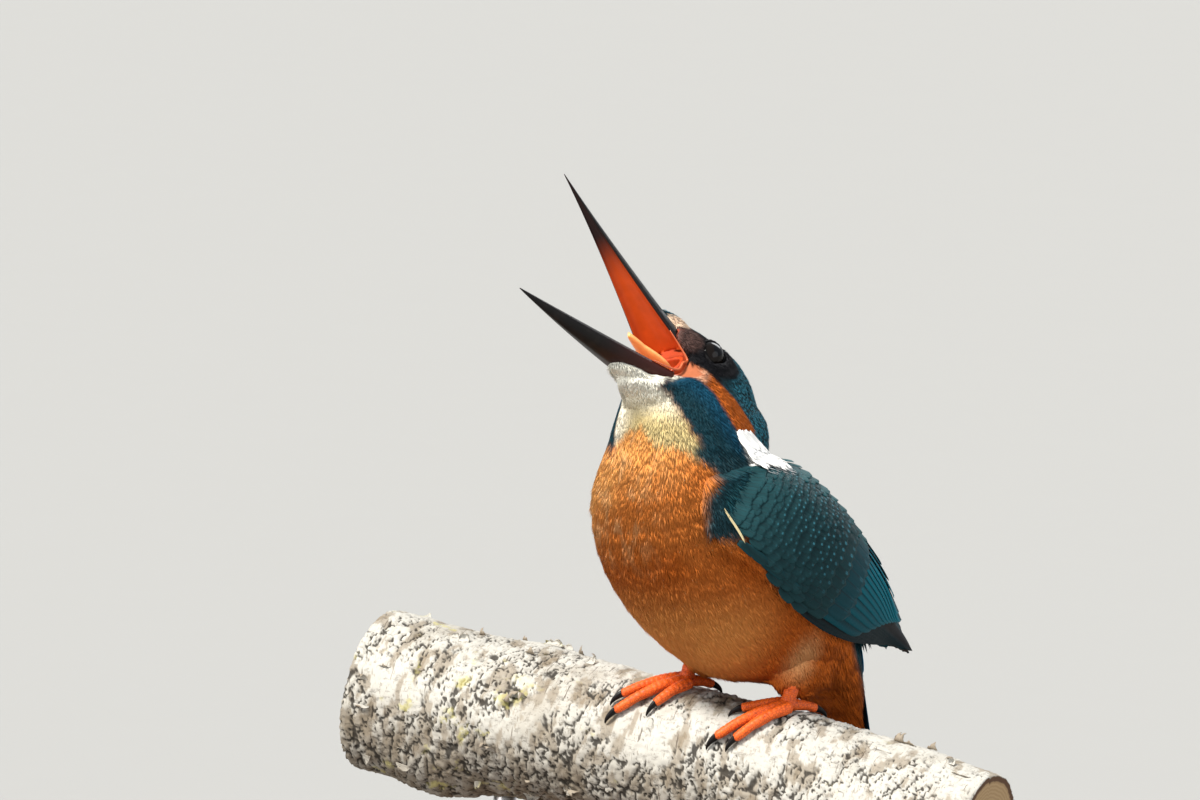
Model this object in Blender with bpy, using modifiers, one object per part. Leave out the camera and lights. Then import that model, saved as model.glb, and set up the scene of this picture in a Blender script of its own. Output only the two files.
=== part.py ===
"""A common kingfisher at life size, head thrown back and bill agape, gripping a length of birch on a stand.

Sizes are in millimetres here and become metres as each mesh is made. The row frame has +Z up, +X along the
perch towards its lower, thinner end, and its origin at the middle of the base's underside. The perch has a
frame on its axis, tilted with it. The bird has a frame on top of the perch: +X is the way it faces, +Y its
left, +Z up. The head has one halfway between the corners of the gape: +X runs along the upper bill and +Z is
the crown's side. The jaw's is the head's, swung about the hinge.

The head, neck, trunk and thighs are modelled whole, from simple forms fused by a voxel remesh, then cut to clear
the pieces they meet and parted by thin cuts.
"""

import math

import bmesh
import bpy
from mathutils import Euler, Matrix, Vector

MM = 0.001
GAP = 0.3  # between pieces that touch

# Stand
BASE_LENGTH, BASE_DEPTH, BASE_HEIGHT = 156.0, 114.0, 12.0
BASE_CORNER, BASE_EDGE = 10.0, 1.5
ROD_RADIUS = 2.5
ROD_PLACES = (-42.0, 42.0)  # along the perch
ROD_SEAT = 7.0  # how deep a rod sits in the base and in the perch

# Perch: a birch limb, a little bowed and knotty
PERCH_LENGTH = 148.0
PERCH_THICK, PERCH_THIN = 17.4, 15.2  # radius at the -X and +X ends
PERCH_SLOPE = math.radians(8.6)
PERCH_HEIGHT = 62.0  # axis above the table at the bird's feet
PERCH_SET_BACK = 10.0  # along +Y, so that the bill stays over the base
PERCH_BOW = 1.6
PERCH_KNOTS = (  # place along the axis, angle from the top, height, reach along, reach round
    (-34.0, math.radians(-40), 0.9, 11.0, 0.55),
    (30.0, math.radians(10), 1.4, 9.0, 0.6),
    (-52.0, math.radians(150), 3.0, 10.0, 0.6),
    (58.0, math.radians(-80), 1.8, 9.0, 0.5),
)

# Bird
BIRD_PLACE = 14.0  # along the perch from its middle
HEADING = math.radians(65)  # from -X towards -Y

# Trunk and neck: back x, z, belly x, z, half width, from the undertail coverts up to inside the head
TRUNK_STATIONS = (
    (-27.6, -14.0, -25.0, -13.0, 3.5),
    (-27.8, -7.0, -21.5, -6.0, 8.5),
    (-28.0, 3.0, -14.0, 1.0, 11.5),
    (-27.5, 14.0, -4.0, 3.0, 13.5),
    (-26.3, 26.6, 10.0, 6.0, 18.8),
    (-19.6, 38.3, 24.0, 16.5, 23.0),
    (-10.0, 47.6, 33.5, 30.0, 22.5),
    (-0.8, 55.2, 36.0, 43.0, 20.5),
    (3.0, 62.3, 33.8, 54.0, 16.5),
    (5.6, 69.8, 31.2, 63.5, 12.5),
    (11.0, 74.0, 29.0, 71.0, 9.0),
)
HEAD_CUT = (Vector((14.0, 0.0, 58.5)), Vector((-0.12, 0.0, 1.0)).normalized())
NECK_CUT = (Vector((14.0, 0.0, 49.5)), Vector((0.36, 0.0, 0.94)).normalized())
THIGH_RADII, THIGH_RISE = Vector((9.0, 7.0, 9.0)), 10.5

# Left wing: upper edge x, y, z, lower edge x, y, z, bulge, thickness, from the bend to the longest primary
WING_STATIONS = (
    (20.0, 12.0, 55.0, 25.0, 17.5, 50.0, 1.0, 2.0),
    (9.0, 9.5, 55.8, 26.0, 20.5, 42.0, 4.0, 4.5),
    (-2.0, 6.5, 52.0, 19.5, 23.8, 36.0, 6.5, 5.5),
    (-11.0, 4.0, 47.0, 10.5, 24.0, 29.0, 7.5, 5.5),
    (-19.5, 3.0, 40.3, 1.5, 23.2, 22.3, 7.2, 5.0),
    (-27.0, 2.2, 33.0, -9.0, 19.8, 17.3, 5.4, 4.2),
    (-33.6, 1.8, 24.8, -20.4, 14.3, 13.2, 3.6, 3.2),
    (-39.0, 1.8, 16.5, -32.5, 7.4, 9.4, 1.0, 2.0),
    (-42.8, 2.2, 7.8, -41.8, 3.8, 6.0, 0.2, 1.0),
)
WING_EDGE = 0.6  # thickness at its rims

# Tail: a closed fan
TAIL_ROOT, TAIL_TIP = Vector((-27.0, 0.0, 15.0)), Vector((-30.5, 0.0, -21.5))
TAIL_ROOT_HALF, TAIL_TIP_HALF = 6.5, 10.5
TAIL_THICK = 2.0

# Feet: side 1 is the left, towards the perch's low end
FOOT_PLACES = {1: 11.4, -1: -13.2}  # along the perch, from the bird's place
FOOT_AHEAD = 3.0  # over the front of the perch, round the bark
TARSUS_RADIUS, TARSUS_LEAN = 1.45, Vector((-3.6, 0.0, 8.5))
TOE_RADIUS = 1.35
TOE_AIMS = {1: math.radians(38), -1: math.radians(38)}  # of the middle toe, towards the perch's high end
TOES = (  # name, degrees away from the middle toe, length, side step at its start
    ("middle", 0.0, 17.0, 0.0),
    ("outer", 5.0, 14.0, 1.8),
    ("inner", -13.0, 9.5, -1.8),
    ("hind", 176.0, 7.0, 0.0),
)
JOINT_SWELL = 1.12  # of a toe at its joints
CLAW_LENGTH, CLAW_RADIUS, CLAW_CURVE = 4.6, 0.85, math.radians(75)

# Head
GAPE_PLACE = Vector((19.4, -2.0, 73.5))
HEAD_TURN, HEAD_PITCH, HEAD_ROLL = math.radians(-11.4), math.radians(58.4), math.radians(33.6)
JAW_OPEN = math.radians(31.6)
JAW_HINGE = Vector((-9.0, 0.0, -3.0))
UPPER_LIFT = math.radians(2.2)
LIFT_HINGE = Vector((-6.0, 0.0, 5.0))
BILL_LENGTH = 48.5  # gape to tip
UPPER_HALF_WIDTH, UPPER_HEIGHT = (5.3, 1.45), (5.7, 1.2)  # size at the base, power of its fall to the tip
LOWER_HALF_WIDTH, LOWER_HEIGHT = (5.1, 1.1), (2.4, 0.85)
EYE_RADIUS = 3.6
EYE_PLACE = Vector((-2.6, 7.2, 4.8))
TONGUE_LENGTH, TONGUE_HEIGHT, TONGUE_RISE, TONGUE_THICK = 15.0, 1.5, 4.1, 1.3

SIDES = ((1, "left"), (-1, "right"))
FLESH_VOXEL, FLESH_TRIANGLES = 1.2, 1480
FOOT_VOXEL, FOOT_TRIANGLES = 0.45, 380
MERGES = (0.09, 0.04, 0.01, 0.0)  # closer points of a cut are merged


def clear_scene():
    for obj in list(bpy.data.objects):
        bpy.data.objects.remove(obj, do_unlink=True)


def new_collection(name, hidden=False):
    made = bpy.data.collections.new(name)
    bpy.context.scene.collection.children.link(made)
    made.hide_render = hidden
    return made


def material(name, colour, roughness, metallic=0.0):
    made = bpy.data.materials.new(name)
    made.use_nodes = True
    shader = made.node_tree.nodes["Principled BSDF"]
    shader.inputs["Base Color"].default_value = (*colour, 1.0)
    shader.inputs["Roughness"].default_value = roughness
    shader.inputs["Metallic"].default_value = metallic
    return made


def object_of(bm, name, finish, parent=None, collection=None):
    """An object from a bmesh in millimetres, which is freed."""
    bmesh.ops.scale(bm, vec=Vector((MM,) * 3), verts=bm.verts)
    bmesh.ops.recalc_face_normals(bm, faces=bm.faces)
    mesh = bpy.data.meshes.new(name)
    bm.to_mesh(mesh)
    bm.free()
    mesh.shade_smooth()
    made = bpy.data.objects.new(name, mesh)
    (collection or KINGFISHER).objects.link(made)
    made.parent = parent
    if finish:
        mesh.materials.append(finish)
    return made


def guide(bm, name):
    """A shape that only helps to make others."""
    made = object_of(bm, name, None, collection=GUIDES)
    made.hide_render = True
    made.display_type = "WIRE"
    return made


def loft(rings):
    """A closed tube through rings of points, all of one count; a last ring of one point closes to a tip."""
    bm = bmesh.new()
    loops = [[bm.verts.new(p) for p in ring] for ring in rings]
    for near, far in zip(loops, loops[1:]):
        count = max(len(near), len(far))
        for i in range(count):
            a, b = near[i % len(near)], near[(i + 1) % len(near)]
            c, d = far[(i + 1) % len(far)], far[i % len(far)]
            corners = [v for k, v in enumerate((a, b, c, d)) if v not in (a, b, c, d)[:k]]
            bm.faces.new(corners)
    bm.faces.new(loops[0])
    if len(loops[-1]) > 1:
        bm.faces.new(loops[-1][::-1])
    return bm


def smooth_path(points, per_span):
    """Points of a Catmull-Rom curve through the given vectors, of any dimension."""
    padded = [points[0], *points, points[-1]]
    path = []
    for i in range(len(points) - 1):
        p0, p1, p2, p3 = padded[i : i + 4]
        for k in range(per_span):
            t = k / per_span
            shares = (
                (2 * t**2 - t - t**3) / 2,
                1 + (3 * t**3 - 5 * t**2) / 2,
                (t + 4 * t**2 - 3 * t**3) / 2,
                (t**3 - t**2) / 2,
            )
            path.append([sum(share * value for share, value in zip(shares, row)) for row in zip(p0, p1, p2, p3)])
    path.append(list(points[-1]))
    return path


def placed(bm, matrix):
    bmesh.ops.transform(bm, matrix=matrix, verts=bm.verts)
    return bm


def ellipsoid(place, radii, turn=(0, 0, 0), space=Matrix.Identity(4), segments=24):
    bm = bmesh.new()
    bmesh.ops.create_uvsphere(bm, u_segments=segments, v_segments=segments // 2, radius=1.0)
    turned = Euler([math.radians(angle) for angle in turn])
    return placed(bm, space @ Matrix.LocRotScale(Vector(place), turned, Vector(radii)))


def evaluated_copy(obj, name):
    """A bmesh of the object with its modifiers applied, in millimetres of the object's own frame."""
    graph = bpy.context.evaluated_depsgraph_get()
    graph.update()
    mesh = bpy.data.meshes.new_from_object(obj.evaluated_get(graph))
    mesh.name = name
    bm = bmesh.new()
    bm.from_mesh(mesh)
    bpy.data.meshes.remove(mesh)
    bmesh.ops.scale(bm, vec=Vector((1 / MM,) * 3), verts=bm.verts)
    return bm


def fused(shapes, name, voxel, triangles, smoothing=6):
    """One closed skin round several overlapping closed shapes, given as bmeshes in one frame."""
    joined = bmesh.new()
    for shape in shapes:
        mesh = bpy.data.meshes.new("shape")
        bmesh.ops.recalc_face_normals(shape, faces=shape.faces)
        shape.to_mesh(mesh)
        shape.free()
        joined.from_mesh(mesh)
        bpy.data.meshes.remove(mesh)
    made = guide(joined, name)
    remesh = made.modifiers.new("fuse", "REMESH")
    remesh.mode = "VOXEL"
    remesh.voxel_size = voxel * MM
    relax = made.modifiers.new("relax", "SMOOTH")
    relax.factor, relax.iterations = 0.5, smoothing
    count = len(evaluated_copy(made, name).faces) * 2
    thin = made.modifiers.new("thin", "DECIMATE")
    thin.ratio = min(1.0, triangles / count)
    thin.use_collapse_triangulate = True
    return made


def grown(source, name, by):
    """A guide like source, with its surface moved outwards."""
    made = guide(evaluated_copy(source, name), name)
    swell = made.modifiers.new("swell", "DISPLACE")
    swell.mid_level, swell.strength = 0.0, by * MM
    return made


def cut(obj, cutter):
    difference = obj.modifiers.new("cut", "BOOLEAN")
    difference.operation, difference.object = "DIFFERENCE", cutter


def sliced(bm, point, normal, keep_below):
    """Keeps what lies on one side of a plane, and closes the cut."""
    made = bmesh.ops.bisect_plane(
        bm,
        geom=[*bm.verts, *bm.edges, *bm.faces],
        plane_co=point,
        plane_no=normal,
        clear_outer=keep_below,
        clear_inner=not keep_below,
    )
    rim = [e for e in made["geom_cut"] if isinstance(e, bmesh.types.BMEdge)]
    bmesh.ops.holes_fill(bm, edges=rim)
    return bm


def head_matrix():
    """From the head's frame to the bird's, in millimetres."""
    turned = Matrix.Rotation(HEAD_TURN, 4, "Z") @ Matrix.Rotation(-HEAD_PITCH, 4, "Y")
    rolled = turned @ Matrix.Rotation(HEAD_ROLL, 4, "X")
    return Matrix.Translation(GAPE_PLACE) @ rolled


def jaw_matrix():
    """From the closed lower jaw to the open one, in the head's frame."""
    swing = Matrix.Rotation(JAW_OPEN, 4, "Y")
    return Matrix.Translation(JAW_HINGE) @ swing @ Matrix.Translation(-JAW_HINGE)


def lift_matrix():
    """From the closed upper bill to the lifted one, in the head's frame."""
    swing = Matrix.Rotation(-UPPER_LIFT, 4, "Y")
    return Matrix.Translation(LIFT_HINGE) @ swing @ Matrix.Translation(-LIFT_HINGE)


def perch_radius(along, angle):
    """Radius of the limb at a place on its axis and an angle from its top, towards -Y."""
    share = along / PERCH_LENGTH + 0.5
    radius = PERCH_THICK + (PERCH_THIN - PERCH_THICK) * share
    radius += 0.45 * math.sin(2 * angle + 0.05 * along) + 0.35 * math.sin(3 * angle - 0.08 * along + 1.0)
    for place, turn, height, reach, spread in PERCH_KNOTS:
        apart = math.remainder(angle - turn, math.tau) / spread
        radius += height * math.exp(-(((along - place) / reach) ** 2) - apart**2)
    return radius


def perch_point(along, angle, out=0.0):
    """A point on the limb's bark, or out from it, in the perch's frame: +X along it, -Y towards the bill."""
    bow = PERCH_BOW * (1 - (2 * along / PERCH_LENGTH) ** 2)
    radius = perch_radius(along, angle) + out
    return Vector((along, -radius * math.sin(angle), bow + radius * math.cos(angle)))


def perch_matrix():
    """From the perch's frame to the row's. The axis has its stated height at the bird's place."""
    drop = math.tan(PERCH_SLOPE) * BIRD_PLACE
    place = Vector((0, PERCH_SET_BACK, PERCH_HEIGHT + drop))
    return Matrix.Translation(place) @ Matrix.Rotation(PERCH_SLOPE, 4, "Y")


def bird_matrix():
    """From the bird's frame to the row's: on top of the perch, turned to face over its front."""
    place = perch_matrix() @ perch_point(BIRD_PLACE, 0.0)
    return Matrix.Translation(place) @ Matrix.Rotation(math.pi + HEADING, 4, "Z")


def perch_body(out=0.0, stations=20, sides=16):
    """The limb, or a sleeve round it, in its own frame."""
    rings = []
    for i in range(stations + 1):
        along = (PERCH_LENGTH + 2 * out) * (i / stations - 0.5)
        rings.append([perch_point(along, math.tau * k / sides, out) for k in range(sides)])
    return loft(rings)


def make_perch(finish):
    perch = object_of(placed(perch_body(), perch_matrix()), "perch", finish)
    for place in ROD_PLACES:
        top = perch_underside(place) + ROD_SEAT + GAP
        cut(perch, guide(rod_shape(place, -1.0, top, ROD_RADIUS + GAP), "rod_hole"))
    return perch


def perch_underside(place):
    """Height of the limb's underside above the table, where a rod meets it."""
    return (perch_matrix() @ perch_point(place, math.pi)).z


def rod_shape(place, bottom, top, radius):
    bm = bmesh.new()
    bmesh.ops.create_cone(
        bm, cap_ends=True, segments=24, radius1=radius, radius2=radius, depth=top - bottom
    )
    bmesh.ops.translate(bm, vec=Vector((place, PERCH_SET_BACK, (top + bottom) / 2)), verts=bm.verts)
    return bm


def make_stand(wood, steel):
    bm = bmesh.new()
    bmesh.ops.create_cube(bm, size=1.0)
    bmesh.ops.scale(bm, vec=Vector((BASE_LENGTH, BASE_DEPTH, BASE_HEIGHT)), verts=bm.verts)
    bmesh.ops.translate(bm, vec=Vector((0, 0, BASE_HEIGHT / 2)), verts=bm.verts)
    upright = [e for e in bm.edges if abs(e.verts[0].co.z - e.verts[1].co.z) > 1]
    bmesh.ops.bevel(bm, geom=upright, offset=BASE_CORNER, segments=4, profile=0.5, affect="EDGES")
    base = object_of(bm, "stand_base", wood)
    edge = base.modifiers.new("edge", "BEVEL")
    edge.width, edge.segments, edge.limit_method = BASE_EDGE * MM, 2, "ANGLE"
    for number, place in enumerate(ROD_PLACES, 1):
        foot = BASE_HEIGHT - ROD_SEAT
        top = perch_underside(place) + ROD_SEAT
        cut(base, guide(rod_shape(place, foot - GAP, BASE_HEIGHT + 5, ROD_RADIUS + GAP), "rod_seat"))
        object_of(rod_shape(place, foot, top, ROD_RADIUS), f"stand_rod_{number}", steel)


def trunk_shape(sides=30):
    """The trunk and neck, from the tip of the undertail coverts to inside the head."""
    rings = []
    for back_x, back_z, belly_x, belly_z, half_width in smooth_path(TRUNK_STATIONS, 3):
        back, belly = Vector((back_x, 0, back_z)), Vector((belly_x, 0, belly_z))
        middle, depth = (back + belly) / 2, (belly - back) / 2
        ring = []
        for k in range(sides):
            turn = math.tau * k / sides
            ring.append(middle + depth * math.cos(turn) + Vector((0, half_width * math.sin(turn), 0)))
        rings.append(ring)
    return loft(rings)


def bark_point(along, ahead, out):
    """A point over the bark in the bird's frame, from places along the perch and round it to its front."""
    return from_perch() @ perch_point(along, ahead / PERCH_THICK, out)


def from_perch():
    """From the perch's frame to the bird's."""
    return bird_matrix().inverted() @ perch_matrix()


def thigh_space(side, extra=0.0):
    """The thigh's own ellipsoid, in the bird's frame."""
    ankle = bark_point(BIRD_PLACE + FOOT_PLACES[side], 0.0, THIGH_RISE)
    radii = THIGH_RADII + Vector((extra,) * 3)
    return ellipsoid(ankle - Vector((2.0, side * 2.5, 0)), radii, (0, 15, 0), segments=12)


def flesh_shapes():
    """The head, neck, trunk and thighs as overlapping simple forms, in the bird's frame."""
    head = head_matrix()
    jaw = head @ jaw_matrix()
    return [
        trunk_shape(),
        # cranium, forehead, nape
        ellipsoid((-11.0, 0, 3.2), (15.0, 12.0, 11.6), (0, 6, 0), head),
        ellipsoid((-1.5, 0, 3.8), (10.0, 8.8, 7.0), (0, 14, 0), head),
        ellipsoid((-20.3, 0, 0.3), (12.0, 12.6, 12.4), (0, 0, 0), head),
        # cheeks, chin and throat, which open with the jaw
        ellipsoid((-11.0, 0, -3.0), (10.0, 11.6, 8.0), (0, 10, 0), head),
        ellipsoid((-4.0, 0, -4.6), (13.5, 7.6, 4.8), (0, 0, 0), jaw),
        ellipsoid((-13.0, 0, -8.0), (13.0, 10.8, 8.5), (0, 0, 0), jaw),
        thigh_space(1),
        thigh_space(-1),
    ]


def wing_shape(side):
    """The folded wing as a loft of lens-shaped sections from its bend to the tip of the primaries."""
    rings = []
    count = 7
    for row in smooth_path(WING_STATIONS, 2):
        upper, lower = Vector(row[0:3]), Vector(row[3:6])
        bulge, thick = row[6:8]
        across = lower - upper
        out = Vector((0.25, 1.0, 0.3))
        out = (out - across * out.dot(across) / across.length_squared).normalized()
        outer, inner = [], []
        for k in range(count + 1):
            t = k / count
            crown = 4 * t * (1 - t)
            half = (WING_EDGE + (thick - WING_EDGE) * math.sqrt(crown)) / 2
            middle = upper + across * t + out * (bulge * crown)
            outer.append(middle + out * half)
            inner.append(middle - out * half)
        rings.append([Vector((p.x, p.y * side, p.z)) for p in outer + inner[::-1]])
    return loft(rings)


def tail_shape(stations=7, sides=16):
    """The closed fan of tail feathers, a thin arched blade that widens to a rounded tip."""
    along = TAIL_TIP - TAIL_ROOT
    out = along.cross(Vector((0, 1, 0))).normalized()
    rings = []
    for i in range(stations + 1):
        t = i / stations
        half = TAIL_ROOT_HALF + (TAIL_TIP_HALF - TAIL_ROOT_HALF) * math.sin(t * math.pi / 2)
        half *= 1 - 0.35 * max(0.0, (t - 0.8) / 0.2) ** 2
        thick = TAIL_THICK * (1 - 0.5 * t) / 2
        ring = []
        for k in range(sides):
            turn = math.tau * k / sides
            share = math.cos(turn)
            arch = 1.5 * share * share
            middle = TAIL_ROOT + along * t + Vector((0, half * share, 0))
            ring.append(middle - out * arch + out * (thick * math.sin(turn)))
        rings.append(ring)
    return loft(rings)


def bill_half(length, half_width, height, swell, way, hollow, stations=9, count=7):
    """One mandible: arched outside, hollow inside, and tapering to a point. way is 1 for the upper.

    half_width and height are each a size at the base and the power by which it falls towards the tip.
    """
    rings = []
    start, tip_x = length
    length = tip_x - start
    for i in range(stations):
        t = i / stations
        half = half_width[0] * (1 - t) ** half_width[1] + 0.3
        edge = way * 0.25
        rise = height[0] * (1 - t) ** height[1] + swell * math.sin(math.pi * t) + 0.5
        arch, inner = [], []
        for k in range(count + 1):
            turn = math.pi * k / count
            y, up = half * math.cos(turn), math.sin(turn)
            arch.append(Vector((start + length * t, y, edge + way * rise * up**0.8)))
            inner.append(Vector((start + length * t, y * 0.98, edge + way * rise * hollow * up)))
        rings.append(arch + inner[-2:0:-1])
    rings.append([Vector((tip_x, 0, way * 0.5))])
    return loft(rings)


def upper_bill_shape(hollow=0.42):
    return bill_half((1.8, BILL_LENGTH), UPPER_HALF_WIDTH, UPPER_HEIGHT, 0.2, 1, hollow)


def lower_bill_shape(hollow=0.42):
    return bill_half((1.0, BILL_LENGTH - 1.0), LOWER_HALF_WIDTH, LOWER_HEIGHT, 0.9, -1, hollow)


def mouth_shape():
    """The open space between the mandibles, from the back of the mouth outwards, in the head's frame."""
    rings = []
    for x, half_width in ((-5.5, 3.0), (-3.0, 4.6), (-0.5, 5.0), (1.5, 12.0), (16.0, 14.0)):
        top = 0.3 + math.tan(UPPER_LIFT) * (x + 6)
        floor = (jaw_matrix() @ Vector((x, 0, -0.2))).z
        ring = []
        for k in range(16):
            turn = math.tau * k / 16
            y = half_width * math.copysign(abs(math.cos(turn)) ** 0.6, math.cos(turn))
            rise = math.copysign(abs(math.sin(turn)) ** 0.6, math.sin(turn))
            ring.append(Vector((x, y, (top + floor) / 2 + rise * (top - floor) / 2)))
        rings.append(ring)
    return loft(rings)


def tongue_shape():
    """A short fleshy tongue, raised from the floor of the mouth, in the closed jaw's frame."""
    rings = []
    stations = 7
    for i in range(stations):
        t = i / stations
        x = -4.0 + TONGUE_LENGTH * t
        half = 2.6 * math.sqrt(1 - t * t) * (0.75 + 0.5 * math.sin(math.pi * min(1.0, t * 1.4)))
        thick = TONGUE_THICK * (1 - 0.6 * t)
        height = TONGUE_HEIGHT + TONGUE_RISE * t
        ring = []
        for k in range(12):
            turn = math.tau * k / 12
            ring.append(Vector((x, half * math.cos(turn), height + thick * math.sin(turn))))
        rings.append(ring)
    rings.append([Vector((-4.0 + TONGUE_LENGTH, 0, TONGUE_HEIGHT + TONGUE_RISE))])
    return loft(rings)


def toe_points(side, spread, length, step, count=7):
    """A toe's middle line over the bark, with its radius at each point."""
    aim = TOE_AIMS[side] - side * math.radians(spread)
    points = []
    for i in range(count):
        run = length * i / (count - 1)
        radius = TOE_RADIUS * (1 - 0.3 * i / (count - 1))
        along = BIRD_PLACE + FOOT_PLACES[side] - math.sin(aim) * run + side * step * math.cos(aim)
        ahead = FOOT_AHEAD + math.cos(aim) * run + side * step * math.sin(aim)
        points.append((bark_point(along, ahead, radius + GAP), radius))
    return points


def tube(points, sides=10):
    """A closed tube with round ends through (point, radius) pairs."""
    rings = []
    places = [p for p, _ in points]
    for i, (place, radius) in enumerate(points):
        ahead = places[min(i + 1, len(places) - 1)] - places[max(i - 1, 0)]
        across = ahead.orthogonal().normalized()
        if rings:
            across = (across_before - ahead * across_before.dot(ahead) / ahead.length_squared).normalized()
        across_before = across
        other = ahead.normalized().cross(across)
        ring = []
        for k in range(sides):
            turn = math.tau * k / sides
            ring.append(place + (across * math.cos(turn) + other * math.sin(turn)) * radius)
        rings.append(ring)
    return loft(rings)


def foot_shapes(side):
    """The tarsus and the four toes. The front three are joined for most of their length."""
    ankle = bark_point(BIRD_PLACE + FOOT_PLACES[side], FOOT_AHEAD, TOE_RADIUS + GAP)
    top = ankle + TARSUS_LEAN
    shapes = [tube([(ankle, TARSUS_RADIUS), ((ankle + top) / 2, TARSUS_RADIUS), (top, TARSUS_RADIUS * 1.15)])]
    for _, spread, length, step in TOES:
        points = toe_points(side, spread, length, step)
        shapes.append(tube(points))
        for place, radius in points[:-1:2]:
            shapes.append(ellipsoid(place, (radius * JOINT_SWELL,) * 3, segments=12))
    return shapes


def claw_shape(side, spread, length, step, sides=7, stations=5):
    """A horn that goes on from the toe's end and curls down on to the bark."""
    points = toe_points(side, spread, length, step)
    before, end = points[-2][0], points[-1][0]
    ahead = (end - before).normalized()
    outwards = end - from_perch() @ Vector((BIRD_PLACE + FOOT_PLACES[side], 0, 0))
    outwards = (outwards - ahead * outwards.dot(ahead)).normalized()
    bend = CLAW_LENGTH / CLAW_CURVE
    rings = []
    start = end - ahead * 0.4
    for i in range(stations):
        t = i / stations
        turn = CLAW_CURVE * t
        place = start + ahead * (bend * math.sin(turn)) - outwards * (bend * (1 - math.cos(turn)) * 0.55)
        forward = ahead * math.cos(turn) - outwards * math.sin(turn) * 0.55
        up = (outwards - forward * outwards.dot(forward) / forward.length_squared).normalized()
        across = forward.normalized().cross(up)
        radius = CLAW_RADIUS * (1 - t) ** 0.7
        ring = []
        for k in range(sides):
            angle = math.tau * k / sides
            ring.append(place + up * (radius * math.cos(angle)) + across * (radius * 0.75 * math.sin(angle)))
        rings.append(ring)
    turn = CLAW_CURVE
    rings.append([start + ahead * (bend * math.sin(turn)) - outwards * (bend * (1 - math.cos(turn)) * 0.55)])
    return loft(rings)


def largest_body(bm):
    """Deletes all but the biggest closed body of a mesh, such as the slivers that a cut leaves."""
    left = set(bm.faces)
    bodies = []
    while left:
        stack = [left.pop()]
        body = set(stack)
        while stack:
            for edge in stack.pop().edges:
                for face in edge.link_faces:
                    if face in left:
                        left.discard(face)
                        body.add(face)
                        stack.append(face)
        bodies.append(body)
    bodies.sort(key=len)
    loose = [face for body in bodies[:-1] for face in body]
    bmesh.ops.delete(bm, geom=loose, context="FACES")
    return bm


def tidied(bm):
    """The mesh with its needle faces merged away, as far as it stays one closed surface."""
    for merge in MERGES:
        trial = bm.copy()
        bmesh.ops.triangulate(trial, faces=trial.faces)
        if merge:
            bmesh.ops.dissolve_degenerate(trial, dist=merge, edges=trial.edges)
            bmesh.ops.triangulate(trial, faces=trial.faces)
        largest_body(trial)
        if all(len(edge.link_faces) == 2 for edge in trial.edges):
            break
    bm.free()
    return trial


def hard_shapes():
    """What isn't flesh, in the bird's frame: each piece's shape and finish by its name."""
    head, jaw, lifted = head_matrix(), head_matrix() @ jaw_matrix(), head_matrix() @ lift_matrix()
    shapes = {
        "bill_upper": (placed(upper_bill_shape(), lifted), "horn"),
        "bill_lower": (placed(lower_bill_shape(), jaw), "horn"),
        "tongue": (placed(tongue_shape(), jaw), "mouth"),
        "tail": (tail_shape(), "blue"),
    }
    for side, word in SIDES:
        place = (EYE_PLACE.x, side * EYE_PLACE.y, EYE_PLACE.z)
        shapes[f"eye_{word}"] = (ellipsoid(place, (EYE_RADIUS,) * 3, space=head, segments=14), "eye")
        shapes[f"wing_{word}"] = (wing_shape(side), "teal")
        for name, spread, length, step in TOES:
            shapes[f"claw_{word}_{name}"] = (claw_shape(side, spread, length, step), "horn")
    return shapes


def made_feet(clearances):
    """The feet, as guides by name, cut to clear their claws."""
    feet = {}
    for side, word in SIDES:
        foot = fused(foot_shapes(side), f"foot_{word}_shape", FOOT_VOXEL, FOOT_TRIANGLES, smoothing=2)
        for name, *_ in TOES:
            cut(foot, clearances[f"claw_{word}_{name}"])
        feet[f"foot_{word}"] = foot
    return feet


def made_flesh(clearances):
    """The head, neck, trunk and thighs in one piece, cut to clear the mouth, perch and hard pieces."""
    flesh = fused(flesh_shapes(), "flesh", FLESH_VOXEL, FLESH_TRIANGLES, smoothing=4)
    cut(flesh, guide(placed(mouth_shape(), head_matrix()), "mouth_space"))
    cut(flesh, guide(placed(perch_body(GAP), from_perch()), "perch_room"))
    for name, room in clearances.items():
        if not name.startswith("claw"):
            cut(flesh, room)
    return evaluated_copy(flesh, "whole")


def part_thighs(whole, finish):
    """Makes the thighs from the whole flesh, and gives what is left of it."""
    for side, word in SIDES:
        thigh = guide(whole.copy(), f"thigh_{word}_shape")
        keep = thigh.modifiers.new("keep", "BOOLEAN")
        keep.operation = "INTERSECT"
        keep.object = guide(thigh_space(side, -0.6 * GAP), f"thigh_{word}_inside")
        object_of(tidied(evaluated_copy(thigh, "thigh")), f"thigh_{word}", finish, BIRD)
    rest = guide(whole, "rest")
    for side, word in SIDES:
        cut(rest, guide(thigh_space(side, 0.4 * GAP), f"thigh_{word}_room"))
    return tidied(evaluated_copy(rest, "rest"))


def parted(bm, plane):
    """The pieces of a mesh over and under a plane, with the gap between them."""
    point, normal = plane
    over = sliced(bm.copy(), point + normal * GAP / 2, normal, False)
    return over, sliced(bm, point - normal * GAP / 2, normal, True)


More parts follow.
